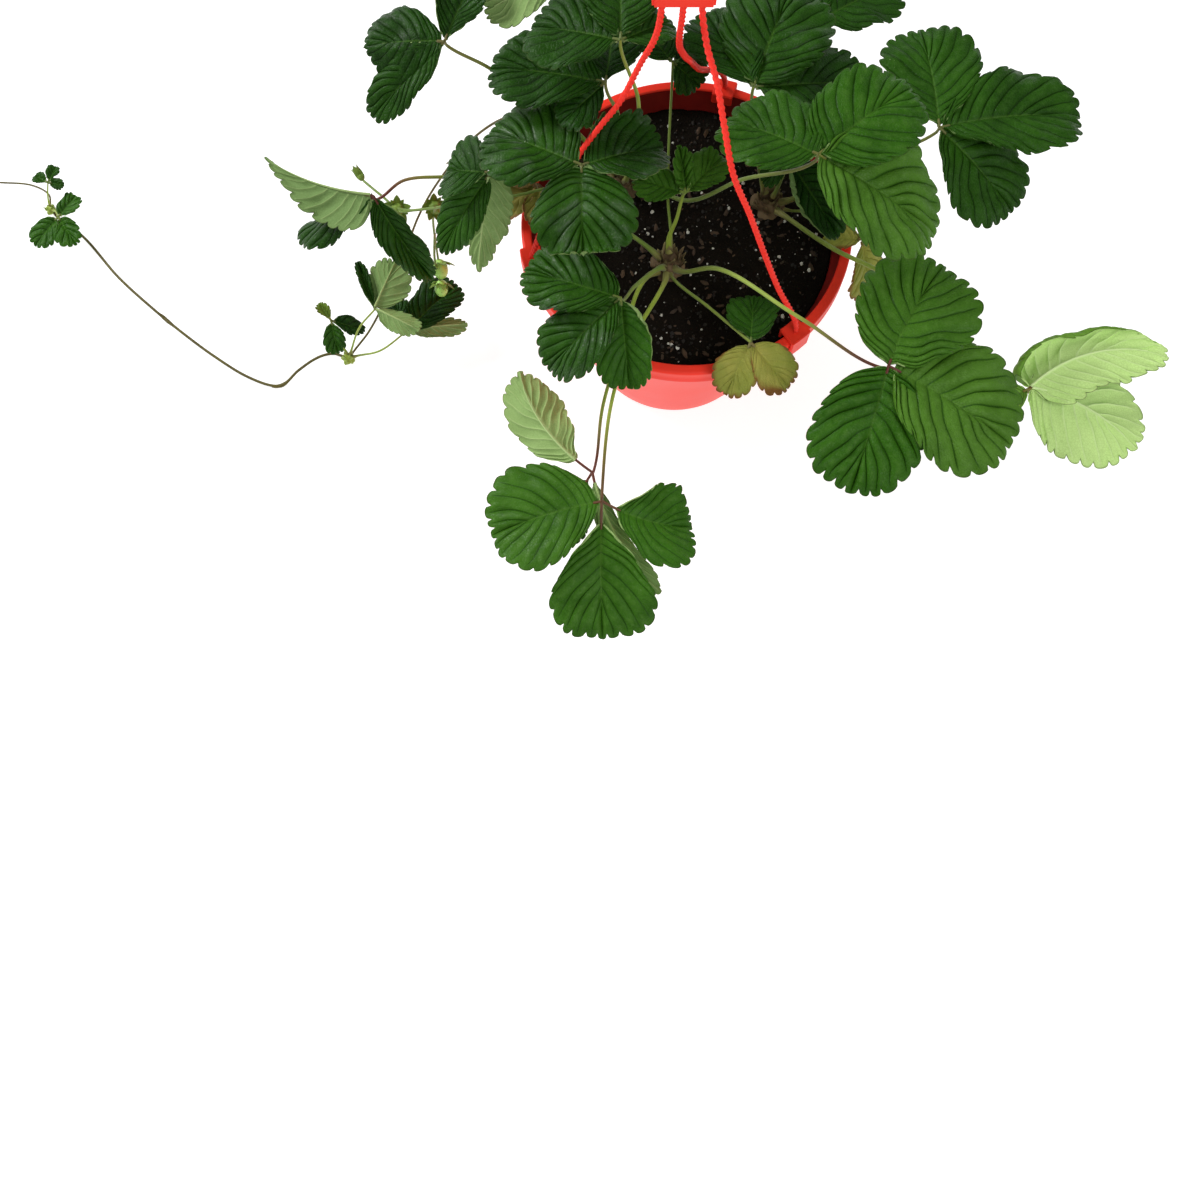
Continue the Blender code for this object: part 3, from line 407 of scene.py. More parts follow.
class Pieces:
    """Vertices, faces, map coordinates, looks and materials of the parts of one mesh."""

    def __init__(self):
        self.verts, self.maps, self.looks, self.faces, self.slots = [], [], [], [], []
        self.count = 0

    def add(self, verts, faces, maps=(0.5, 0.5), slot=0, tone=0.5, age=0.0, blush=0.0, gloss=0.0):
        """Maps are one pair or one for each vertex, and slot is one number or one for each face."""
        self.verts.append(np.asarray(verts, float))
        self.maps.append(np.broadcast_to(maps, (len(verts), 2)))
        self.looks.append(np.tile((tone, age, blush, gloss), (len(verts), 1)))
        self.faces += [[int(corner) + self.count for corner in face] for face in faces]
        self.slots += [slot] * len(faces) if np.isscalar(slot) else slot
        self.count += len(verts)

    def place(self, name, materials, slot, node, sharp=40):
        """Make the mesh and put it on the part in the place of a CAD node."""
        mesh = bpy.data.meshes.new(name)
        mesh.from_pydata(np.concatenate(self.verts).tolist(), [], self.faces)
        for finish in materials:
            mesh.materials.append(finish)
        mesh.polygons.foreach_set("material_index", self.slots)
        corners = np.zeros(len(mesh.loops), int)
        mesh.loops.foreach_get("vertex_index", corners)
        layer = mesh.uv_layers.new(name="growth")
        layer.data.foreach_set("uv", np.concatenate(self.maps)[corners].astype(np.float32).ravel())
        looks = np.concatenate(self.looks).astype(np.float32)
        for column, kind in enumerate(("tone", "age", "blush", "gloss")):
            made = mesh.attributes.new(kind, "FLOAT", "POINT")
            made.data.foreach_set("value", looks[:, column].copy())
        mesh.shade_smooth()
        mesh.set_sharp_from_angle(angle=math.radians(sharp))
        mesh.validate()
        piece = bpy.data.objects.new(name, mesh)
        bpy.context.scene.collection.objects.link(piece)
        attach(piece, "root")
        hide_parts(node)
        return piece


def grid_quads(number):
    """Quads over a grid of vertex numbers."""
    return np.stack([number[:-1, :-1], number[1:, :-1], number[1:, 1:], number[:-1, 1:]],
                    axis=-1).reshape(-1, 4)


def tube(path, radii, sides=10, lobes=0, lobe_height=0.0, twist_length=1.0):
    """A closed tube along the path: its vertices, faces and (along, around) coordinates. Lobes run
    along it as in a rope, one full turn to each twist length."""
    last = len(path) - 1
    side = (path[1] - path[0]).orthogonal().normalized()
    verts, maps, gone = [], [], 0.0
    for index, middle in enumerate(path):
        along = (path[min(index + 1, last)] - path[max(index - 1, 0)]).normalized()
        side = (side - along * side.dot(along)).normalized()
        across = along.cross(side)
        gone += (middle - path[max(index - 1, 0)]).length
        for corner in range(sides):
            turn = 2 * math.pi * corner / sides
            twisted = turn + 2 * math.pi * gone / twist_length
            radius = radii[index] * (1 + lobe_height * math.cos(lobes * twisted))
            verts.append(middle + radius * (side * math.cos(turn) + across * math.sin(turn)))
            maps.append((index / last, corner / sides))
    number = np.arange(len(verts)).reshape(-1, sides)
    around = grid_quads(np.vstack([number.T, number[:, 0]]))
    return verts, [number[0, ::-1], *around, number[-1]], maps


def shell_faces(number, rim):
    """Faces of a thin closed shell: quads over the grid of vertex numbers, the same behind it with
    the numbers that follow, and walls along the rim."""
    count, quads, after = number.max() + 1, grid_quads(number), np.roll(rim, -1)
    walls = np.stack([rim, after, after + count, rim + count], axis=-1)
    return np.concatenate([quads, quads[:, ::-1] + count, walls])


def from_bmesh(bm):
    """The vertices and faces of the bmesh, which is freed."""
    bm.verts.index_update()
    verts = [vert.co.copy() for vert in bm.verts]
    faces = [tuple(vert.index for vert in face.verts) for face in bm.faces]
    bm.free()
    return verts, faces


def ball(radius, stretch=(1, 1, 1), roughness=0.0, detail=2, seed=0):
    """Vertices and faces of an uneven ball around the origin."""
    bm = bmesh.new()
    bmesh.ops.create_icosphere(bm, subdivisions=detail, radius=1.0)
    for vert in bm.verts:
        swell = 1 + roughness * noise.noise(vert.co * 1.7 + Vector((seed * 7.3, seed * 3.1, 0)))
        vert.co = Vector([vert.co[axis] * stretch[axis] * radius * swell for axis in range(3)])
    return from_bmesh(bm)


# Materials

class Shader:
    """One material's nodes, with short ways to add more."""

    def __init__(self, name):
        self.material = bpy.data.materials.new(name)
        self.material.use_nodes = True
        self.tree = self.material.node_tree
        self.base = self.tree.nodes["Principled BSDF"]

    def node(self, kind, *inputs, **settings):
        """Add a node. An input is a socket to link or a value, and None leaves it alone."""
        made = self.tree.nodes.new("ShaderNode" + kind)
        for setting, value in settings.items():
            setattr(made, setting, value)
        for index, value in enumerate(inputs):
            self.feed(made.inputs[index], value)
        return made

    def feed(self, socket, value):
        if isinstance(value, bpy.types.NodeSocket):
            self.tree.links.new(value, socket)
        elif value is not None:
            socket.default_value = (*value, 1.0) if isinstance(value, tuple) else value

    def math(self, operation, *inputs, clamp=False):
        return self.node("Math", *inputs, operation=operation, use_clamp=clamp).outputs[0]

    def smooth(self, value, low, high):
        """0 at low and 1 at high, with a smooth step between."""
        made = self.node("MapRange", value, low, high, 0.0, 1.0, interpolation_type="SMOOTHSTEP")
        return made.outputs[0]

    def mix(self, share, one, two):
        made = self.node("Mix", data_type="RGBA")
        for socket, value in ((0, share), (6, one), (7, two)):
            self.feed(made.inputs[socket], value)
        return made.outputs[2]

    def cover(self, colour, *layers):
        """The colour under layers, each with its mask, how much it covers there and its colour."""
        for mask, cover, over in layers:
            colour = self.mix(self.math("MULTIPLY", mask, cover), colour, over)
        return colour

    def noise(self, scale, detail=3.0):
        where = self.node("TexCoord").outputs["Object"]
        return self.node("TexNoise", where, None, scale, detail).outputs[0]

    def attribute(self, name):
        return self.node("Attribute", attribute_name=name).outputs["Fac"]

    def growth(self):
        """The two map coordinates that a piece was grown with."""
        made = self.node("SeparateXYZ", self.node("UVMap", uv_map="growth").outputs[0])
        return made.outputs[0], made.outputs[1]

    def finish(self, colour, roughness, height=None, depth=0.0002, strength=0.5, **others):
        self.feed(self.base.inputs["Base Color"], colour)
        self.feed(self.base.inputs["Roughness"], roughness)
        for name, value in others.items():
            self.feed(self.base.inputs[name.replace("_", " ")], value)
        if height is not None:
            bump = self.node("Bump", strength, depth)
            self.feed(bump.inputs["Height"], height)
            self.tree.links.new(bump.outputs[0], self.base.inputs["Normal"])
        return self.material


def ribs(shader):
    """Masks of the side ribs, the midrib and the net of fine veins, the share out to the margin, and
    a mask of the ridges between the ribs."""
    phase, outward = shader.growth()
    nearest = shader.math("FRACT", shader.math("ADD", phase, 0.5))
    nearest = shader.math("ABSOLUTE", shader.math("SUBTRACT", nearest, 0.5))
    width = shader.math("MULTIPLY_ADD", outward, -0.07, 0.13)
    side = shader.math("SUBTRACT", 1.0, shader.smooth(nearest, 0.0, width))
    side = shader.math("MULTIPLY", side, shader.smooth(outward, 0.97, 0.85))
    middle = shader.math("SUBTRACT", 1.0, shader.smooth(outward, 0.0, 0.035))
    where = shader.node("TexCoord").outputs["Object"]
    cells = shader.node("TexVoronoi", where, None, 620.0, feature="DISTANCE_TO_EDGE").outputs[0]
    net = shader.math("SUBTRACT", 1.0, shader.smooth(cells, 0.0, 0.16))
    return side, middle, net, outward, shader.smooth(nearest, 0.12, 0.5)


def leaf_top():
    shader = Shader("leaf_upper_side")
    side, middle, net, outward, ridge = ribs(shader)
    tone, age = shader.attribute("tone"), shader.attribute("age")
    mottle, fine = shader.smooth(shader.noise(55.0, 6.0), 0.25, 0.75), shader.noise(260.0)
    dark = shader.mix(mottle, (0.001, 0.012, 0.0005), (0.005, 0.034, 0.001))
    middling = shader.mix(mottle, (0.017, 0.078, 0.002), (0.034, 0.125, 0.006))
    light = shader.mix(mottle, (0.12, 0.26, 0.026), (0.19, 0.38, 0.052))
    green = shader.mix(shader.math("DIVIDE", tone, 0.35, clamp=True), dark, middling)
    lighter = shader.math("MULTIPLY_ADD", tone, 1.54, -0.54, clamp=True)
    # Painted highlights: a lighter, greyer green in patches on the ridges between the ribs.
    painted_highlights = shader.math("MULTIPLY", ridge, shader.smooth(fine, 0.35, 0.7))
    green = shader.cover(
        shader.mix(lighter, green, light), (fine, 0.1, (0.07, 0.17, 0.02)),
        (painted_highlights, 0.45, shader.mix(tone, (0.01, 0.062, 0.003), (0.2, 0.4, 0.07))),
        # Painted shade: the sunken side ribs are darkened.
        (side, 0.8, shader.mix(tone, (0.0, 0.004, 0.0), (0.03, 0.12, 0.008))),
        (middle, 0.3, (0.1, 0.22, 0.03)), (net, 0.1, (0.07, 0.2, 0.02)),
        (shader.smooth(outward, 0.965, 1.0), 0.6, (0.035, 0.05, 0.012)))
    brown_edge = shader.smooth(shader.math("MULTIPLY_ADD", mottle, 0.35, outward), 0.85, 1.15)
    yellow = shader.mix(mottle, (0.24, 0.27, 0.045), (0.4, 0.36, 0.08))
    yellow = shader.mix(brown_edge, yellow, (0.22, 0.085, 0.025))
    brown = shader.mix(mottle, (0.16, 0.085, 0.03), (0.34, 0.21, 0.09))
    old = shader.mix(shader.smooth(age, 1.0, 1.3), yellow, brown)
    colour = shader.mix(shader.smooth(age, 0.1, 1.0), green, old)
    shine = shader.smooth(shader.noise(75.0, 2.0), 0.48, 0.68)
    shine = shader.math("MULTIPLY", shader.attribute("gloss"), shine)
    roughness = shader.math("MULTIPLY_ADD", shader.noise(60.0, 2.0), 0.24, 0.24)
    specular = shader.math("MULTIPLY_ADD", shine, 0.34, 0.09)
    height = shader.math("MULTIPLY_ADD", side, -0.5, shader.math("MULTIPLY", net, -0.6))
    height = shader.math("MULTIPLY_ADD", fine, 0.9, height)
    return shader.finish(colour, roughness, height, 0.00022, 1.0, Specular_IOR_Level=specular)


def leaf_under():
    shader = Shader("leaf_underside")
    side, middle, net, outward, _ = ribs(shader)
    tone, mottle = shader.attribute("tone"), shader.noise(40.0, 4.0)
    pale = shader.mix(shader.math("MAXIMUM", mottle, net),
                      shader.mix(tone, (0.13, 0.22, 0.07), (0.66, 0.9, 0.34)),
                      shader.mix(tone, (0.1, 0.17, 0.05), (0.5, 0.72, 0.24)))
    rib = shader.math("MAXIMUM", shader.math("MULTIPLY", side, 0.55), middle)
    pale = shader.mix(rib, pale, shader.mix(tone, (0.26, 0.36, 0.13), (0.7, 0.88, 0.42)))
    pale = shader.cover(pale, (shader.smooth(outward, 0.965, 1.0), 0.6, (0.1, 0.14, 0.04)))
    brown = shader.mix(mottle, (0.3, 0.18, 0.07), (0.5, 0.36, 0.16))
    colour = shader.mix(shader.smooth(shader.attribute("age"), 0.2, 1.2), pale, brown)
    height = shader.math("MULTIPLY_ADD", net, 0.7, shader.math("MULTIPLY", side, 0.6))
    roughness = shader.math("MULTIPLY_ADD", tone, -0.05, 0.72)
    return shader.finish(colour, roughness, height, 0.0002, 0.7, Specular_IOR_Level=0.12)


def stalk_skin():
    """Dark or yellowish green by the tone, with a papery sheath at the crown, and as red as the
    blush says towards the leaf."""
    shader = Shader("leaf_stalk_skin")
    along, _ = shader.growth()
    streaks = shader.noise(120.0)
    dark = shader.mix(streaks, (0.05, 0.11, 0.015), (0.11, 0.19, 0.035))
    light = shader.mix(streaks, (0.22, 0.32, 0.025), (0.36, 0.44, 0.06))
    red = shader.mix(streaks, (0.07, 0.014, 0.008), (0.15, 0.035, 0.018))
    sheath = shader.mix(streaks, (0.16, 0.1, 0.04), (0.32, 0.26, 0.11))
    colour = shader.cover(
        shader.mix(shader.attribute("tone"), dark, light),
        (shader.smooth(along, 0.55, 0.92), shader.attribute("blush"), red),
        (shader.smooth(along, 0.14, 0.01), 0.7, sheath),
        (shader.smooth(shader.attribute("age"), 0.2, 1.2), 1.0, (0.2, 0.12, 0.05)))
    return shader.finish(colour, 0.5, shader.noise(900.0, 2.0), 0.00015, 0.6,
                         Specular_IOR_Level=0.3, Sheen_Weight=0.15, Sheen_Roughness=0.5)


def mottled(name, scale, detail, dark, light, roughness, grain=None, depth=0.0002, strength=0.5,
            **others):
    """A finish that wanders between two colours. Its bumps follow the same mottle, or a finer grain
    of its own."""
    shader = Shader(name)
    mottle = shader.noise(scale, detail)
    height = shader.noise(grain, 2.0) if grain else mottle
    return shader.finish(shader.mix(mottle, dark, light), roughness, height, depth, strength, **others)


def red_plastic():
    shader = Shader("red_plastic")
    cloud = shader.noise(22.0)
    colour = shader.mix(cloud, (0.94, 0.03, 0.016), (0.98, 0.055, 0.03))
    roughness = shader.math("MULTIPLY_ADD", cloud, 0.16, 0.3)
    return shader.finish(colour, roughness, shader.noise(1500.0, 2.0), 0.00006, 0.5,
                         Specular_IOR_Level=0.15)


def soil_skin():
    shader = Shader("potting_soil")
    fine = shader.noise(700.0, 4.0)
    colour = shader.mix(shader.noise(90.0, 5.0), (0.002, 0.0015, 0.001), (0.01, 0.0065, 0.004))
    colour = shader.mix(shader.smooth(fine, 0.58, 0.78), colour, (0.026, 0.016, 0.009))
    return shader.finish(colour, 0.95, fine, 0.0012, 1.0, Specular_IOR_Level=0.1)


def grain_skin(name, dark, light):
    """One of the soil's grains, whose tone sets where it lies between dark and light."""
    shader = Shader(name)
    share = shader.math("MULTIPLY_ADD", shader.noise(500.0), 0.5,
                        shader.math("MULTIPLY", shader.attribute("tone"), 0.6))
    return shader.finish(shader.mix(share, dark, light), 0.85, shader.noise(1600.0), 0.0002, 0.8)


def crown_skin():
    """Brown scales, paler towards their tips as the tone says."""
    shader = Shader("crown_scales")
    along, _ = shader.growth()
    streaks = shader.noise(220.0, 4.0)
    dark = shader.mix(streaks, (0.055, 0.028, 0.014), (0.16, 0.085, 0.04))
    pale = shader.mix(streaks, (0.26, 0.19, 0.09), (0.38, 0.36, 0.15))
    colour = shader.cover(dark, (along, shader.attribute("tone"), pale))
    return shader.finish(colour, 0.8, streaks, 0.0005, 0.8)


LEAF_TOP, LEAF_UNDER, STALK = leaf_top(), leaf_under(), stalk_skin()
PLASTIC, SOIL, CROWN = red_plastic(), soil_skin(), crown_skin()
PERLITE = grain_skin("perlite", (0.32, 0.29, 0.24), (0.8, 0.78, 0.72))
BARK = grain_skin("bark", (0.012, 0.007, 0.004), (0.085, 0.045, 0.022))
CRUMB = grain_skin("peat_crumbs", (0.002, 0.0015, 0.001), (0.02, 0.013, 0.008))
# The pot's inside wall is a mottled darker red: painted shade inside the pot's hollow.
PAINTED_SHADE_PLASTIC = mottled("painted_shade_plastic", 40, 4, (0.09, 0.008, 0.006), (0.36, 0.016, 0.012), 0.6,
                  depth=0.0003, Specular_IOR_Level=0.15)
CORD = mottled("red_cord", 60, 3, (0.9, 0.03, 0.02), (0.97, 0.05, 0.032), 0.45, 1500, 0.00006,
               Specular_IOR_Level=0.15)
RUNNER = mottled("runner_skin", 60, 4, (0.05, 0.036, 0.01), (0.14, 0.125, 0.03), 0.55, 900,
                 0.00012, 0.6, Specular_IOR_Level=0.2)
SEPALS = mottled("sepals", 180, 3, (0.08, 0.15, 0.015), (0.21, 0.31, 0.045), 0.6,
                 Specular_IOR_Level=0.3)
FRUIT = mottled("green_fruit", 200, 3, (0.26, 0.5, 0.07), (0.46, 0.76, 0.18), 0.45)


# Leaves

def half_width(share, wedge, point):
    """Half of a leaflet's width as a share of its widest, along its midrib. Its base is a straight
    wedge at 1 and rounder below that, and so is its tip."""
    widest = wedge / (wedge + point)
    most = widest ** wedge * (1 - widest) ** point
    return share ** wedge * (1 - share) ** point / most


def margin_points(length, width, wedge, point, steps):
    """Points (along, across) of the plain margin of one half, at shares of its own length."""
    share = 1 - (1 - np.linspace(0.0, 1.0, 400)) ** 2
    along, across = share * length, half_width(share, wedge, point) * width / 2
    across = np.maximum(across, STALKLET_RADIUS * (1 - share) ** 8)
    gone = np.append(0.0, np.cumsum(np.hypot(np.diff(along), np.diff(across))))
    gone /= gone[-1]
    return np.interp(steps, gone, along), np.interp(steps, gone, across)


def ripples(x, y, size, draw):
    """Soft random unevenness, mostly within -1 to 1, with bumps about this size."""
    total = np.zeros_like(x)
    for _ in range(6):
        turn, start = draw.uniform(0, 2 * math.pi), draw.uniform(0, 2 * math.pi)
        pace = 2 * math.pi / (size * draw.uniform(1.5, 2.7))
        total += np.sin(pace * (x * math.cos(turn) + y * math.sin(turn)) + start)
    return total / 3


def tooth_shape(phase):
    """Height of the toothed margin: 1 at each whole phase, with round lobes and sharp notches."""
    offset = np.abs(phase - np.round(phase)) * 2
    return (1 - np.minimum(offset, 1.0) ** 2.3) ** 0.5


def flat_half(length, width, wedge, point, teeth, flat, draw):
    """One half of the flat leaflet as arrays over (steps along the margin, stations along a rib):
    along the midrib, across it, the quilted height, and the rib phase with the share out to the
    margin."""
    crowded, uneven = draw.uniform(0.02, 0.05), draw.uniform(-0.012, 0.012)
    even = np.linspace(0.0, 1.0, 200)
    grown = even + crowded * np.sin(2 * math.pi * even) + uneven * np.sin(6 * math.pi * even)
    toothed = np.interp(np.linspace(0.0, 1.0, teeth * STEPS_PER_TOOTH + 1), grown, even)
    ranked = np.append(np.zeros(BASE_STEPS), toothed)
    base = np.linspace(0.0, 1.0, BASE_STEPS, endpoint=False)
    steps = np.append(base * TOOTHED_FROM, TOOTHED_FROM + (1 - TOOTHED_FROM) * toothed)
    phase = np.append((base - 1) * 2, np.linspace(0.0, teeth, teeth * STEPS_PER_TOOTH + 1))
    edge_along, reach_across = margin_points(length, width, wedge, point, steps)
    root_along = length * (RIBS_FROM * np.minimum(steps / TOOTHED_FROM, 1.0)
                           + (RIBS_TO - RIBS_FROM) * ranked ** RIBS_CROWDING)
    reach_along = edge_along - root_along
    begun = np.clip(phase / 1.5 + 0.3, 0, 1)
    sizes = np.array([draw.uniform(0.8, 1.2) for _ in range(teeth + 1)])
    tooth = TOOTH_DEPTH * math.sqrt(length * width) * 9 / teeth
    tooth = tooth * sizes[np.clip(np.round(phase), 0, teeth).astype(int)]
    depth = tooth * begun * (tooth_shape(phase) - 1) / (np.hypot(reach_along, reach_across) + 1e-9)
    out = RIB_STATIONS[None, :]
    bow = RIB_BEND * 4 * out * (1 - out) * (1 - ranked[:, None] ** 6)
    stretch = out + depth[:, None] * out ** 7
    along = root_along[:, None] + reach_along[:, None] * stretch - reach_across[:, None] * bow
    across = reach_across[:, None] * stretch + reach_along[:, None] * bow
    loose = np.clip(across / FREE_FROM, 0, 1)
    along = along + WANDER_ALONG * loose * ripples(along, across, WANDER_ALONG_SIZE, draw)
    across = across + WANDER_ACROSS * loose * ripples(along, across, WANDER_ACROSS_SIZE, draw)
    spacing = length * (1 - TOOTHED_FROM) / teeth * (0.45 + 0.75 * out)
    between = np.abs(np.sin(np.pi * phase))[:, None] ** 0.5
    puffed = 1 + 0.4 * ripples(along, across, PUFF_SIZE, draw)
    from_midrib = np.clip(out / 0.16, 0, 1) ** 0.6
    height = flat * QUILTING * spacing * between * puffed * from_midrib * (1 - out ** 4)
    height = height - MIDRIB_GROOVE * np.exp(-(across / MIDRIB_GROOVE_WIDTH) ** 2)
    for rise, size in RISES:
        height = height + rise * loose * ripples(along, across, size, draw)
    height = height - MARGIN_SINK * out ** 6 * begun[:, None]
    return along, across, height, np.stack(np.broadcast_arrays(phase[:, None], out), axis=-1)


def leaflet_lines(hub, heading, rise, length, roll, droop, tip, swerve, twist):
    """The midrib's places and its left and up directions, at even shares of its length."""
    shares = np.linspace(0.0, 1.0, 61)
    rows = []
    middle = hub + direction(heading, rise) * HUB_RADIUS
    before = 0.0
    for share in shares.tolist():
        lifted = rise - droop * share + tip * max(0.0, (share - 0.78) / 0.22) ** 2
        forward, left, up = axes(heading + swerve * (share - 0.42), lifted, roll + twist * share)
        middle = middle + forward * length * (share - before)
        before = share
        rows.append((*middle, *left, *up))
    return shares, np.array(rows)


def at_share(lines, share):
    """The midrib's places and its left and up directions at these shares of its length."""
    shares, rows = lines
    found = np.stack([np.interp(share, shares, column) for column in rows.T], axis=-1)
    return found[..., 0:3], found[..., 3:6], found[..., 6:9]


def bend_half(flat, side, start, length, lines, fold, curl, wave, wave_start):
    """The places of one half of a leaflet, bent along its midrib. Side is 1 for left, -1 for right,
    and start is where the blade starts along the midrib."""
    along, across, height, maps = flat
    middle, left, up = at_share(lines, np.clip((start + along) / length, 0, 1))
    turned = np.radians(fold) + np.radians(curl) * np.clip((maps[..., 1] - 0.4) / 0.6, 0, 1) ** 1.5
    step = np.diff(across, axis=1)
    halfway = (turned[:, 1:] + turned[:, :-1]) / 2
    aside, rise = np.zeros_like(across), np.zeros_like(across)
    aside[:, 1:] = np.cumsum(step * np.cos(halfway), axis=1)
    rise[:, 1:] = np.cumsum(step * np.sin(halfway), axis=1)
    waves = np.sin(2 * math.pi * (along / length * 1.7 + wave_start))
    rise = rise + wave * (across / (across.max() + 1e-9)) ** 2 * waves
    outward = side * left
    normal = up * np.cos(turned)[..., None] - outward * np.sin(turned)[..., None]
    return middle + outward * aside[..., None] + up * rise[..., None] + normal * height[..., None]


def sheet_normals(verts, quads):
    corners = verts[quads]
    crossed = np.cross(corners[:, 2] - corners[:, 0], corners[:, 3] - corners[:, 1])
    normals = np.zeros_like(verts)
    for corner in range(4):
        np.add.at(normals, quads[:, corner], crossed)
    return normals / (np.linalg.norm(normals, axis=1, keepdims=True) + 1e-12)


def join_halves(left, right):
    """Rows that run up the left half and back down the right one, sharing the midrib and the tip."""
    return np.concatenate([left.reshape(-1, left.shape[-1]),
                           right[-2::-1, 1:].reshape(-1, right.shape[-1])])


def blade_numbers(steps, stations):
    """The vertex number at each row and station of the joined halves."""
    left = np.arange(steps * stations).reshape(steps, stations)
    right = left.size + np.arange((steps - 1) * (stations - 1)).reshape(steps - 1, stations - 1)
    return np.concatenate([left, np.hstack([left[-2::-1, :1], right])])


def both(value):
    """The values for the left and right half, from one for both or a pair."""
    return value if isinstance(value, tuple) else (value, value)


def add_leaflet(pieces, hub, shape, draw, tone, blush, under=False, curl=-12, tip=0, swerve=0,
                bare=1.2, broad=1.0, wedge=BASE_WEDGE, point=TIP_ROUNDING, flat=1.0, age=0.0,
                gloss=0.0):
    """One leaflet with its little stalk. Under shows its underside, curl bends its margins up in
    degrees, tip bends the tip up, and swerve turns it to the left along its length. Bare is the
    length of the little stalk, wedge and point the shape of the blade's base and tip, and flat how
    strongly the blade is quilted."""
    heading, rise, length, width, roll, droop, fold = shape
    length, width, bare = length / 1000, width / 1000, bare / 1000
    fold, curl = both(fold), both(curl)
    if under:
        roll, fold, curl = roll + 180, (-fold[1], -fold[0]), (-curl[1], -curl[0])
    teeth = 9 if length > 0.045 else 7 if length > 0.028 else 5
    wave, wave_start = length * draw.uniform(0.02, 0.04), draw.uniform(0, 1)
    lean = draw.uniform(-0.06, 0.06)
    lines = leaflet_lines(hub, heading, rise, length, roll, droop, tip,
                          swerve + draw.uniform(-6, 6), draw.uniform(-6, 6))
    tone = tone + draw.uniform(-0.06, 0.06)
    halves, maps = [], []
    for index, side in enumerate((1, -1)):
        half = flat_half(length - bare, width * broad * (1 + side * lean), wedge, point, teeth,
                         flat, draw)
        maps.append(half[3])
        halves.append(bend_half(half, side, bare, length, lines, fold[index], curl[index], wave,
                                wave_start + 0.3 * index))
    seam, end = (halves[0][:, :1] + halves[1][:, :1]) / 2, (halves[0][-1] + halves[1][-1]) / 2
    for half in halves:
        half[:, :1] = seam
        half[-1] = end
    verts = join_halves(*halves)
    number = blade_numbers(*maps[0].shape[:2])
    rim = np.concatenate([number[0], number[1:, -1], number[-1, -2:0:-1]])
    faces = shell_faces(number, rim)
    quads = (len(faces) - len(rim)) // 2
    below = verts - sheet_normals(verts, faces[:quads]) * BLADE_THICKNESS
    slots = [0] * quads + [1] * (len(faces) - quads)
    pieces.add(np.concatenate([verts, below]), faces, np.tile(join_halves(*maps), (2, 1)), slots,
               tone, age, blush, gloss)
    add_midrib(pieces, hub, lines, bare / length, tone, age, blush)


def add_midrib(pieces, hub, lines, start, tone, age, blush):
    """The leaflet's little stalk up to the start of the blade, and the raised midrib under it."""
    middle, _, up = at_share(lines, np.linspace(0.0, start + 0.05, 7))
    spots = [hub] + [Vector(spot) for spot in middle - up * STALKLET_SINK]
    radii = [STALKLET_RADIUS] * 4 + STALKLET_TAPER
    pieces.add(*tube(spots, radii, 8)[:2], (1.0, 0.5), 2, tone, age, blush)
    shares = np.linspace(start, 0.85, 16)
    middle, _, up = at_share(lines, shares)
    radii = MIDRIB_TAPER * (1 - shares) + MIDRIB_TIP
    sunk = MIDRIB_GROOVE + BLADE_THICKNESS * 0.7 + radii * 0.8
    spots = [Vector(spot) for spot in middle - up * sunk[:, None]]
    pieces.add(*tube(spots, radii.tolist(), 8)[:2], (0.5, 0.0), 1, tone, age)


def stalk_tube(points, radius, tip, sheath_length):
    """A stalk that swells into its sheath at the crown and tapers to its tip."""
    path = even_path(points, STALK_STEP)
    radii, gone = [], 0.0
    for index, spot in enumerate(path):
        gone += (spot - path[max(index - 1, 0)]).length
        plain = radius + (tip - radius) * index / (len(path) - 1)
        sheath = (SHEATH_SWELL - 1) * max(0.0, 1 - gone / sheath_length) ** 1.5
        radii.append(SLIMNESS * plain * (1 + sheath))
    return tube(path, radii)


def make_leaf(name, radius, crown, heading, rise, places, tone, sap, blush, leaflets):
    """A large leaf's stalk is a piece of its own and meets the blades from below."""
    draw = random.Random(name)
    *via, hub = [metres(place) for place in places]
    large = name in LEAVES
    leaf, upward = Pieces(), Vector((0, 0, 0))
    for leaflet in leaflets:
        upward += axes(*leaflet[:2], leaflet[4])[2]
        look = {"tone": tone, "blush": blush, **dict(*leaflet[7:])}
        add_leaflet(leaf, hub, leaflet[:7], draw, **look)
    start = stem_start(crown, heading, rise, radius, STALK_RUN if large else 2 * radius)
    if large:
        via.append(hub - upward.normalized() * SEAT_RUN)
        leaf.place(name + "_leaflets", [LEAF_TOP, LEAF_UNDER, STALK], "leaf", name + "_blade")
        stem = Pieces()
        stem.add(*stalk_tube([*start, *via, hub], radius, STALK_TIP, SHEATH_LENGTH), 0, sap, 0.0,
                 blush)
        stem.place(name + "_petiole", [STALK], "leaf_stalk", name + "_stalk")
    else:
        slot = "old_leaf" if name in ("old_leaf", "dead_leaf") else "leaf"
        age = 1.0 if name == "dead_leaf" else 0.0
        leaf.add(*stalk_tube([*start, *via, hub], radius, radius * 0.8, SHEATH_LENGTH * 0.4), 2, sap,
                 age, blush)
        leaf.place(name + "_leaflets", [LEAF_TOP, LEAF_UNDER, STALK], slot, name)


# Crowns

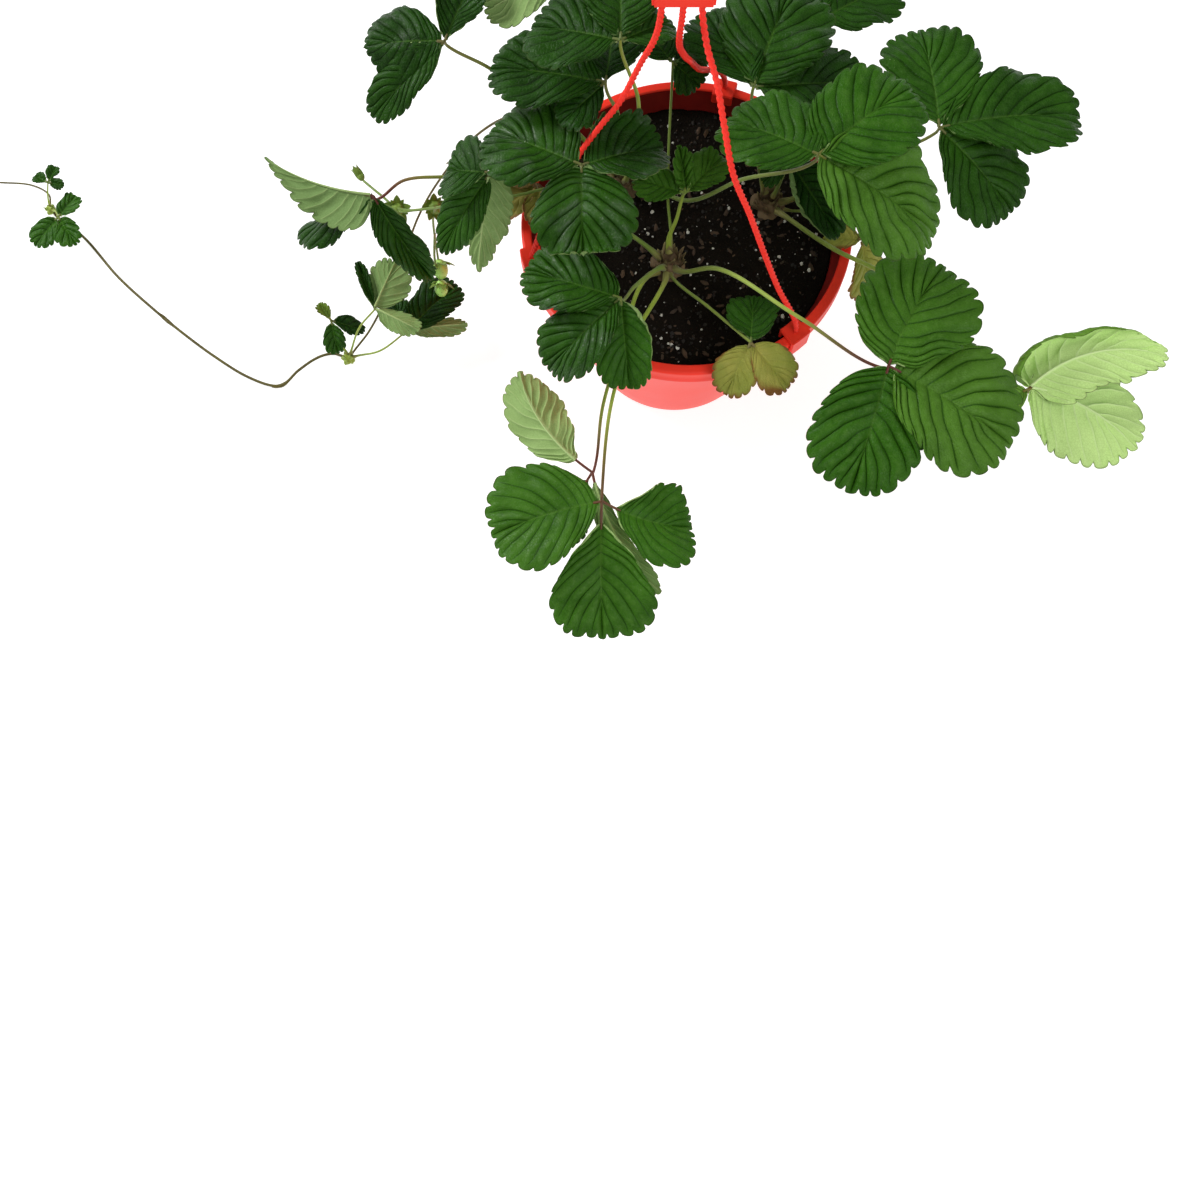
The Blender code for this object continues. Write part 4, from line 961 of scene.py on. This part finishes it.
def add_scale(pieces, start, forward, out, length, width, tone):
    """A pointed papery scale that grows from start and curves outward: a thin closed shell."""
    side = forward.cross(out).normalized()
    front, maps = [], []
    for row in range(SCALE_ROWS):
        share = row / (SCALE_ROWS - 1)
        spot = start + forward * length * share + out * length * 0.35 * share * share
        half = width / 2 * math.sin(math.pi * min(1.0, 0.22 + 0.78 * share)) ** 0.7
        half = max(half, 0.0002)
        front += [spot - side * half, spot + out * half * 0.35, spot + side * half]
        maps += [(share, 0.5)] * 3
    behind = [spot - out * SCALE_THICKNESS for spot in front]
    number = np.arange(len(front)).reshape(-1, 3).T
    rim = np.concatenate([number[0], number[1:, -1], number[-1, -2::-1], number[-2:0:-1, 0]])
    pieces.add(front + behind, shell_faces(number, rim), maps * 2, 0, tone)


def make_crown(name, middle, radius):
    draw = random.Random(name)
    middle, radius = metres(middle), radius / 1000
    bedded = name.startswith("crown")
    crown = Pieces()
    verts, faces = ball(radius * 0.9, (1, 1, 0.95), 0.5, 4, len(name))
    crown.add([middle + vert for vert in verts], faces, tone=0.3 if bedded else 0.8)
    for index in range(34 if bedded else 9):
        heading, rise = SCALE_TURN * index, draw.uniform(15, 65)
        out = direction(heading, rise)
        forward = (Vector((0, 0, 1)) + out * draw.uniform(-0.2, 0.5)).normalized()
        add_scale(crown, middle + out * radius * 0.78, forward, out,
                  radius * draw.uniform(0.35, 0.75), radius * draw.uniform(0.22, 0.42),
                  draw.uniform(0.1, 1.0) if bedded else 0.6)
    slot, finish = ("crown", CROWN) if bedded else ("young_green", STALK)
    crown.place(name + "_scales", [finish], slot, name)


# Runners and the flower stalk

def make_runner(name, crown, heading, rise, points, end, bracts):
    route = stem_start(crown, heading, rise, RUNNER_RADIUS, 2 * RUNNER_RADIUS)
    route += [metres((x, y, *(height or (1000 * ON_FLOOR,)))) for x, y, *height in points]
    if end:
        route += reversed(stem_start(*end, RUNNER_RADIUS, 2 * RUNNER_RADIUS))
    path = even_path(route, STEM_STEP)
    last = len(path) - 1
    radii = []
    for index in range(len(path)):
        swell = sum(math.exp(-((index / last - bract) * len(path) / 2.2) ** 2) for bract in bracts)
        radii.append(RUNNER_RADIUS * (RUNNER_SHARES[name] + 0.55 * swell))
    runner = Pieces()
    runner.add(*tube(path, radii, 9))
    for bract in bracts:
        index = round(bract * last)
        along = (path[index + 1] - path[index]).normalized()
        out = (Vector((0, 0, 1)) - along * along.z).normalized()
        add_scale(runner, path[index] + out * RUNNER_RADIUS * 0.5, along, out, BRACT_LENGTH,
                  BRACT_WIDTH, 0.5)
    runner.place(name + "_stem", [RUNNER], "runner", name)


def add_flower_head(pieces, middle, heading, rise, spread, stage, draw):
    """Sepals in two rings: closed to a bud, open around a domed middle, or around a green fruit."""
    middle, spread, facing = metres(middle), spread / 1000, direction(heading, rise)
    turn = facing.to_track_quat("Z", "Y").to_matrix()
    for index in range(10):
        share, width = (0.8, 0.2) if index % 2 else (1.0, 0.3)
        angle = 2 * math.pi * index / 10 + draw.uniform(-0.12, 0.12)
        out = turn @ Vector((math.cos(angle), math.sin(angle), 0.0))
        lean = draw.uniform(-0.1, 0.25) + (BUD_LEAN if stage == "closed" else 0.0)
        add_scale(pieces, middle + out * spread * 0.06, (out + facing * lean).normalized(), facing,
                  spread / 2 * share * 0.92, spread * width, 1.0)
    if stage != "fruit":
        verts, faces = ball(spread * (0.24 if stage == "open" else 0.16), (1, 1, 1), 0.3, 3)
        pieces.add([middle + facing * spread * 0.08 + vert for vert in verts], faces, tone=0.6)
        return
    size, middle = spread * 0.27, middle + facing * spread * 0.24
    verts, faces = ball(size, (1, 1, 1.25), 0.06, 3)
    pieces.add([middle + turn @ vert for vert in verts], faces, slot=1)
    for index in range(SEEDS):
        height = 1 - 2 * (index + 0.5) / SEEDS
        ring = math.sqrt(1 - height * height)
        angle = SEED_TURN * index
        spot = Vector((ring * math.cos(angle), ring * math.sin(angle), height * 1.25)) * size
        verts, faces = ball(SEED_RADIUS, detail=1)
        pieces.add([middle + turn @ spot + vert for vert in verts], faces, slot=2, tone=0.9)


def make_truss():
    crown, heading, rise, radius, points, side_stalks, heads = TRUSS
    draw = random.Random("truss")
    radius = radius / 1000
    route = stem_start(crown, heading, rise, radius, 2 * radius)
    path = even_path(route + [metres(point) for point in points], 0.002)
    truss = Pieces()
    radii = []
    for spot in path:
        inside = min(radius, (spot - path[0]).length, (spot - path[-1]).length) / radius
        radii.append(radius * max(0.12, math.sqrt(1 - (1 - inside) ** 2)))
    truss.add(*tube(path, radii, 9), 3, 0.25)
    for stalk in side_stalks:
        path = even_path([metres(point) for point in stalk], STEM_STEP)
        radii = [radius * (1 - 0.2 * index / (len(path) - 1)) for index in range(len(path))]
        truss.add(*tube(path, radii, 8), 3, 0.25)
    for head in heads:
        add_flower_head(truss, *head, draw)
    truss.place("flower_stalk", [SEPALS, FRUIT, BARK, STALK], "young_green", "flower_truss")


# Pot and soil

def inner_radius(height):
    """The pot's inside radius at a height above its base."""
    top, bottom = RIM_RADIUS - RIM_BAND, BASE_RADIUS - WALL
    return bottom + (top - bottom) * height / POT_HEIGHT


def turned(profile, sides):
    """A closed skin from (radius, height) points spun around Z; a radius of 0 closes on the axis."""
    verts, rings = [], []
    for radius, height in profile:
        count = sides if radius else 1
        rings.append([len(verts) + corner % count for corner in range(sides + 1)])
        for corner in range(count):
            angle = 2 * math.pi * corner / sides
            verts.append(Vector((radius * math.cos(angle), radius * math.sin(angle), height)))
    return verts, [tuple(dict.fromkeys(quad)) for quad in grid_quads(np.array(rings).T).tolist()]


def arc(radius, height, size, start, stop, count):
    """Points of a round corner in a (radius, height) profile, angles in degrees."""
    return [(radius + size * math.cos(math.radians(start + (stop - start) * step / count)),
             height + size * math.sin(math.radians(start + (stop - start) * step / count)))
            for step in range(count + 1)]


def make_pot():
    skirt = POT_HEIGHT - SKIRT_HEIGHT
    lip = inner_radius(POT_HEIGHT)
    outer = inner_radius(skirt) + WALL
    profile = [
        (0.0, 0.0012), (BASE_RADIUS - 0.012, 0.0012), (BASE_RADIUS - 0.01, 0.0),
        *arc(BASE_RADIUS - 0.004, 0.004, 0.004, -90, -6, 5),
        *[(inner_radius(step * skirt / 10) + WALL, step * skirt / 10) for step in range(1, 10)],
        (outer - 0.0004, skirt - 0.002), (outer, skirt - 0.0002),
        *arc(RIM_RADIUS - 0.001, skirt + 0.001, 0.001, -90, 0, 4),
        (RIM_RADIUS - 0.0004, skirt + 0.003), (RIM_RADIUS - 0.0004, POT_HEIGHT - 0.0042),
        *arc(RIM_RADIUS - 0.0018, POT_HEIGHT - 0.0018, 0.0018, 0, 90, 6),
        (lip + 0.002, POT_HEIGHT),
        *arc(lip + 0.0012, POT_HEIGHT - 0.0012, 0.0012, 90, 180, 5),
        (inner_radius(POT_HEIGHT - 0.006), POT_HEIGHT - 0.006),
        *[(inner_radius(step * POT_HEIGHT / 10), step * POT_HEIGHT / 10) for step in range(9, 0, -1)],
        (inner_radius(FLOOR_THICKNESS), FLOOR_THICKNESS), (0.0, FLOOR_THICKNESS)]
    # The inside rings take the darker red, which paints the shade inside the pot.
    slots = [0] * (len(profile) - 1 - INSIDE_RINGS) + [1] * INSIDE_RINGS
    shell = Pieces()
    shell.add(*turned(profile, POT_SIDES), slot=slots * POT_SIDES)
    pot = shell.place("pot_shell", [PLASTIC, PAINTED_SHADE_PLASTIC], "red_plastic", "pot")
    bm = bmesh.new()
    for index in range(DRAIN_HOLES):
        turn = Matrix.Rotation(2 * math.pi * (index + 0.5) / DRAIN_HOLES, 4, "Z")
        bmesh.ops.create_cone(bm, cap_ends=True, segments=28, radius1=DRAIN_RADIUS,
                              radius2=DRAIN_RADIUS, depth=4 * FLOOR_THICKNESS,
                              matrix=turn @ Matrix.Translation((DRAIN_CIRCLE, 0, 0)))
    cutter = bpy.data.objects.new("drain_cutter", bpy.data.meshes.new("drain_cutter"))
    bm.to_mesh(cutter.data)
    bm.free()
    bpy.context.scene.collection.objects.link(cutter)
    pot.modifiers.new("drain_holes", "BOOLEAN").object = cutter
    cut = pot.evaluated_get(bpy.context.evaluated_depsgraph_get())
    mesh = bpy.data.meshes.new_from_object(cut)
    pot.modifiers.clear()
    pot.data = mesh
    bpy.data.objects.remove(cutter)


def soil_height(x, y):
    """The soil's surface: broad lumps, small crumbs, and a dip beside the wall."""
    spot = Vector((x, y, SOIL_LEVEL + 0.0015))
    broad = SOIL_LUMPS * noise.noise(spot / SOIL_LUMP_SIZE)
    crumbs = sum(height * noise.noise(spot / size) for height, size in SOIL_CRUMBS)
    dip = SOIL_DIP * max(0.0, (math.hypot(x, y) - 0.08) / 0.014)
    return SOIL_LEVEL + 0.0012 + broad + crumbs - dip


def make_soil():
    floor = FLOOR_THICKNESS + GAP
    edge = inner_radius(SOIL_LEVEL - 0.001) - 2 * GAP
    verts, faces = turned(
        [(0.0, floor), (inner_radius(floor) - 2 * GAP, floor)]
        + [(edge * ring / SOIL_RINGS, SOIL_LEVEL) for ring in range(SOIL_RINGS, -1, -1)], SOIL_SIDES)
    for vert in verts:
        if vert.z > floor + GAP:
            vert.z = soil_height(vert.x, vert.y)
    soil = Pieces()
    soil.add(verts, faces)
    soil.place("potting_mix", [SOIL], "potting_soil", "soil", 180)


def make_grains():
    """Perlite, bark and crumbs of peat strewn over the soil and partly sunk in it."""
    draw = random.Random("grains")
    grains = Pieces()
    reach = inner_radius(SOIL_LEVEL) - 0.004
    for slot, (count, small, large, stretch, roughness, detail) in enumerate(GRAINS):
        for _ in range(count):
            radius, angle = reach * math.sqrt(draw.random()), draw.uniform(0, 2 * math.pi)
            x, y = radius * math.cos(angle), radius * math.sin(angle)
            size = small + (large - small) * draw.random() ** 2
            verts, faces = ball(size, stretch, roughness, detail, draw.uniform(0, 99))
            turn = Matrix.Rotation(draw.uniform(0, math.pi), 3, "Z")
            turn = turn @ Matrix.Rotation(draw.uniform(-0.6, 0.6), 3, "X")
            middle = Vector((x, y, soil_height(x, y) + size * stretch[2] * 0.35))
            grains.add([middle + turn @ spot for spot in verts], faces, slot=slot,
                       tone=draw.random())
    grains.place("soil_grains", [PERLITE, BARK, CRUMB], "potting_soil", "soil")


# Hanger

def make_hook():
    bm = bmesh.new()
    bmesh.ops.create_cube(bm, size=1.0, matrix=Matrix.Translation(HANGER_TOP)
                          @ Matrix.Diagonal((*HANGER_BAR, 1.0)))
    bmesh.ops.bevel(bm, geom=bm.edges, offset=HANGER_BAR_ROUNDING, segments=4, affect="EDGES")
    hook = Pieces()
    hook.add(*from_bmesh(bm))
    path = [HANGER_TOP + Vector((0, 0, HOOK_SHANK * step / 12)) for step in range(12)]
    centre = HANGER_TOP + Vector((HOOK_RADIUS, 0, HOOK_SHANK))
    path += [centre + HOOK_RADIUS * direction(0, angle) for angle in range(180, -61, -6)]
    last = (path[-1] - path[-2]).normalized() * HOOK_WIRE
    path += [path[-1] + last * step for step in (0.35, 0.65, 0.85)]
    radii = [HOOK_WIRE] * (len(path) - 3) + [HOOK_WIRE * share for share in (0.9, 0.68, 0.36)]
    hook.add(*tube(path, radii, 20))
    hook.place("hook_moulding", [PLASTIC], "red_plastic", "hanger_hook")


def clip_shape(heading):
    """Vertices and faces of a saddle over the rim with rounded edges."""
    outer, inner = RIM_RADIUS + GAP, inner_radius(POT_HEIGHT - CLIP_INNER_DEPTH) - 2 * GAP
    top = POT_HEIGHT + GAP
    section = [
        (outer, POT_HEIGHT - CLIP_OUTER_DEPTH), (outer, top), (inner, top),
        (inner, POT_HEIGHT - CLIP_INNER_DEPTH),
        (inner - CLIP_WALL, POT_HEIGHT - CLIP_INNER_DEPTH), (inner - CLIP_WALL, top + CLIP_WALL),
        (outer + CLIP_WALL, top + CLIP_WALL), (outer + CLIP_WALL, POT_HEIGHT - CLIP_OUTER_DEPTH),
    ]
    angle = CLIP_LENGTH / RIM_RADIUS
    bm = bmesh.new()
    face = bm.faces.new([bm.verts.new((radius, 0.0, height)) for radius, height in section])
    start = Matrix.Rotation(math.radians(heading) - angle / 2, 3, "Z")
    bmesh.ops.rotate(bm, verts=bm.verts, cent=(0, 0, 0), matrix=start)
    bmesh.ops.spin(bm, geom=[face] + list(face.edges) + list(face.verts), cent=(0, 0, 0),
                   axis=(0, 0, 1), angle=angle, steps=6)
    bmesh.ops.holes_fill(bm, edges=[edge for edge in bm.edges if edge.is_boundary])
    bmesh.ops.recalc_face_normals(bm, faces=bm.faces)
    hard = [edge for edge in bm.edges if edge.calc_face_angle(0) > math.radians(50)]
    bmesh.ops.bevel(bm, geom=hard, offset=CLIP_ROUNDING, segments=3, affect="EDGES")
    return from_bmesh(bm)


def make_strand(name, start_x, heading, points):
    start = HANGER_TOP + Vector((start_x / 1000, 0, -HANGER_BAR[2] / 2 + 0.002))
    rim = inner_radius(POT_HEIGHT) + RIM_BAND / 2
    end = direction(heading) * rim + Vector((0, 0, POT_HEIGHT + CLIP_WALL / 2))
    above = end + Vector((0, 0, CLIP_RUN)) - direction(heading) * CLIP_LEAN
    via = [metres(point) for point in points]
    path = even_path([start, start - Vector((0, 0, STRAND_RUN)), *via, above, end], STRAND_STEP)
    strand = Pieces()
    strand.add(*tube(path, [STRAND_RADIUS * STRAND_CORE] * len(path), 18, STRAND_LOBES,
                     STRAND_LOBE_HEIGHT, STRAND_TWIST))
    strand.add(*clip_shape(heading), slot=1)
    strand.place(name + "_cord", [CORD, PLASTIC], "red_plastic", name)


# Stage

def make_stage():
    bpy.ops.mesh.primitive_plane_add(size=FLOOR_SIZE, location=(0, 0, -0.0002))
    floor = bpy.context.object
    floor.name = "studio_floor"
    floor.data.materials.append(Shader("studio_floor").finish(
        (0.5, 0.5, 0.5), 0.9, Specular_IOR_Level=0.0, Emission_Color=(1.0, 1.0, 1.0),
        Emission_Strength=FLOOR_GLOW))
    world = bpy.data.worlds.new("studio")
    bpy.context.scene.world = world
    world.use_nodes = True
    sky = world.node_tree.nodes["Background"]
    sky.inputs["Color"].default_value = (1.0, 1.0, 1.0, 1.0)
    sky.inputs["Strength"].default_value = SKY_LIGHT
    for name, spot, size, power in LIGHTS:
        lamp = bpy.data.lights.new(name, "AREA")
        lamp.energy = power
        lamp.size = size
        light = bpy.data.objects.new(name, lamp)
        light.location = spot
        light.rotation_euler = (-Vector(spot)).to_track_quat("-Z", "Y").to_euler()
        bpy.context.scene.collection.objects.link(light)


def make_camera():
    lens = bpy.data.cameras.new("camera")
    lens.lens = LENS
    lens.sensor_width = SENSOR
    lens.clip_start = 0.01
    camera = bpy.data.objects.new("camera", lens)
    camera.location = CAMERA_PLACE
    camera.rotation_euler = (math.radians(90 + CAMERA_RISE), 0, 0)
    bpy.context.scene.collection.objects.link(camera)
    bpy.context.scene.camera = camera


make_camera()
make_pot()
make_soil()
make_grains()
for crown_name, row in CROWNS.items():
    make_crown(crown_name, *row)
make_hook()
for strand_name, row in STRANDS.items():
    make_strand(strand_name, *row)
for leaf_name, row in LEAVES.items():
    make_leaf(leaf_name, STALK_BASE, *row)
for leaf_name, (crown, heading, rise, radius, *row) in SMALL_LEAVES.items():
    make_leaf(leaf_name, radius / 1000, crown, heading, rise, *row)
for runner_name, row in RUNNERS.items():
    make_runner(runner_name, *row)
make_truss()
make_stage()
bpy.context.scene.view_settings.view_transform = "Standard"
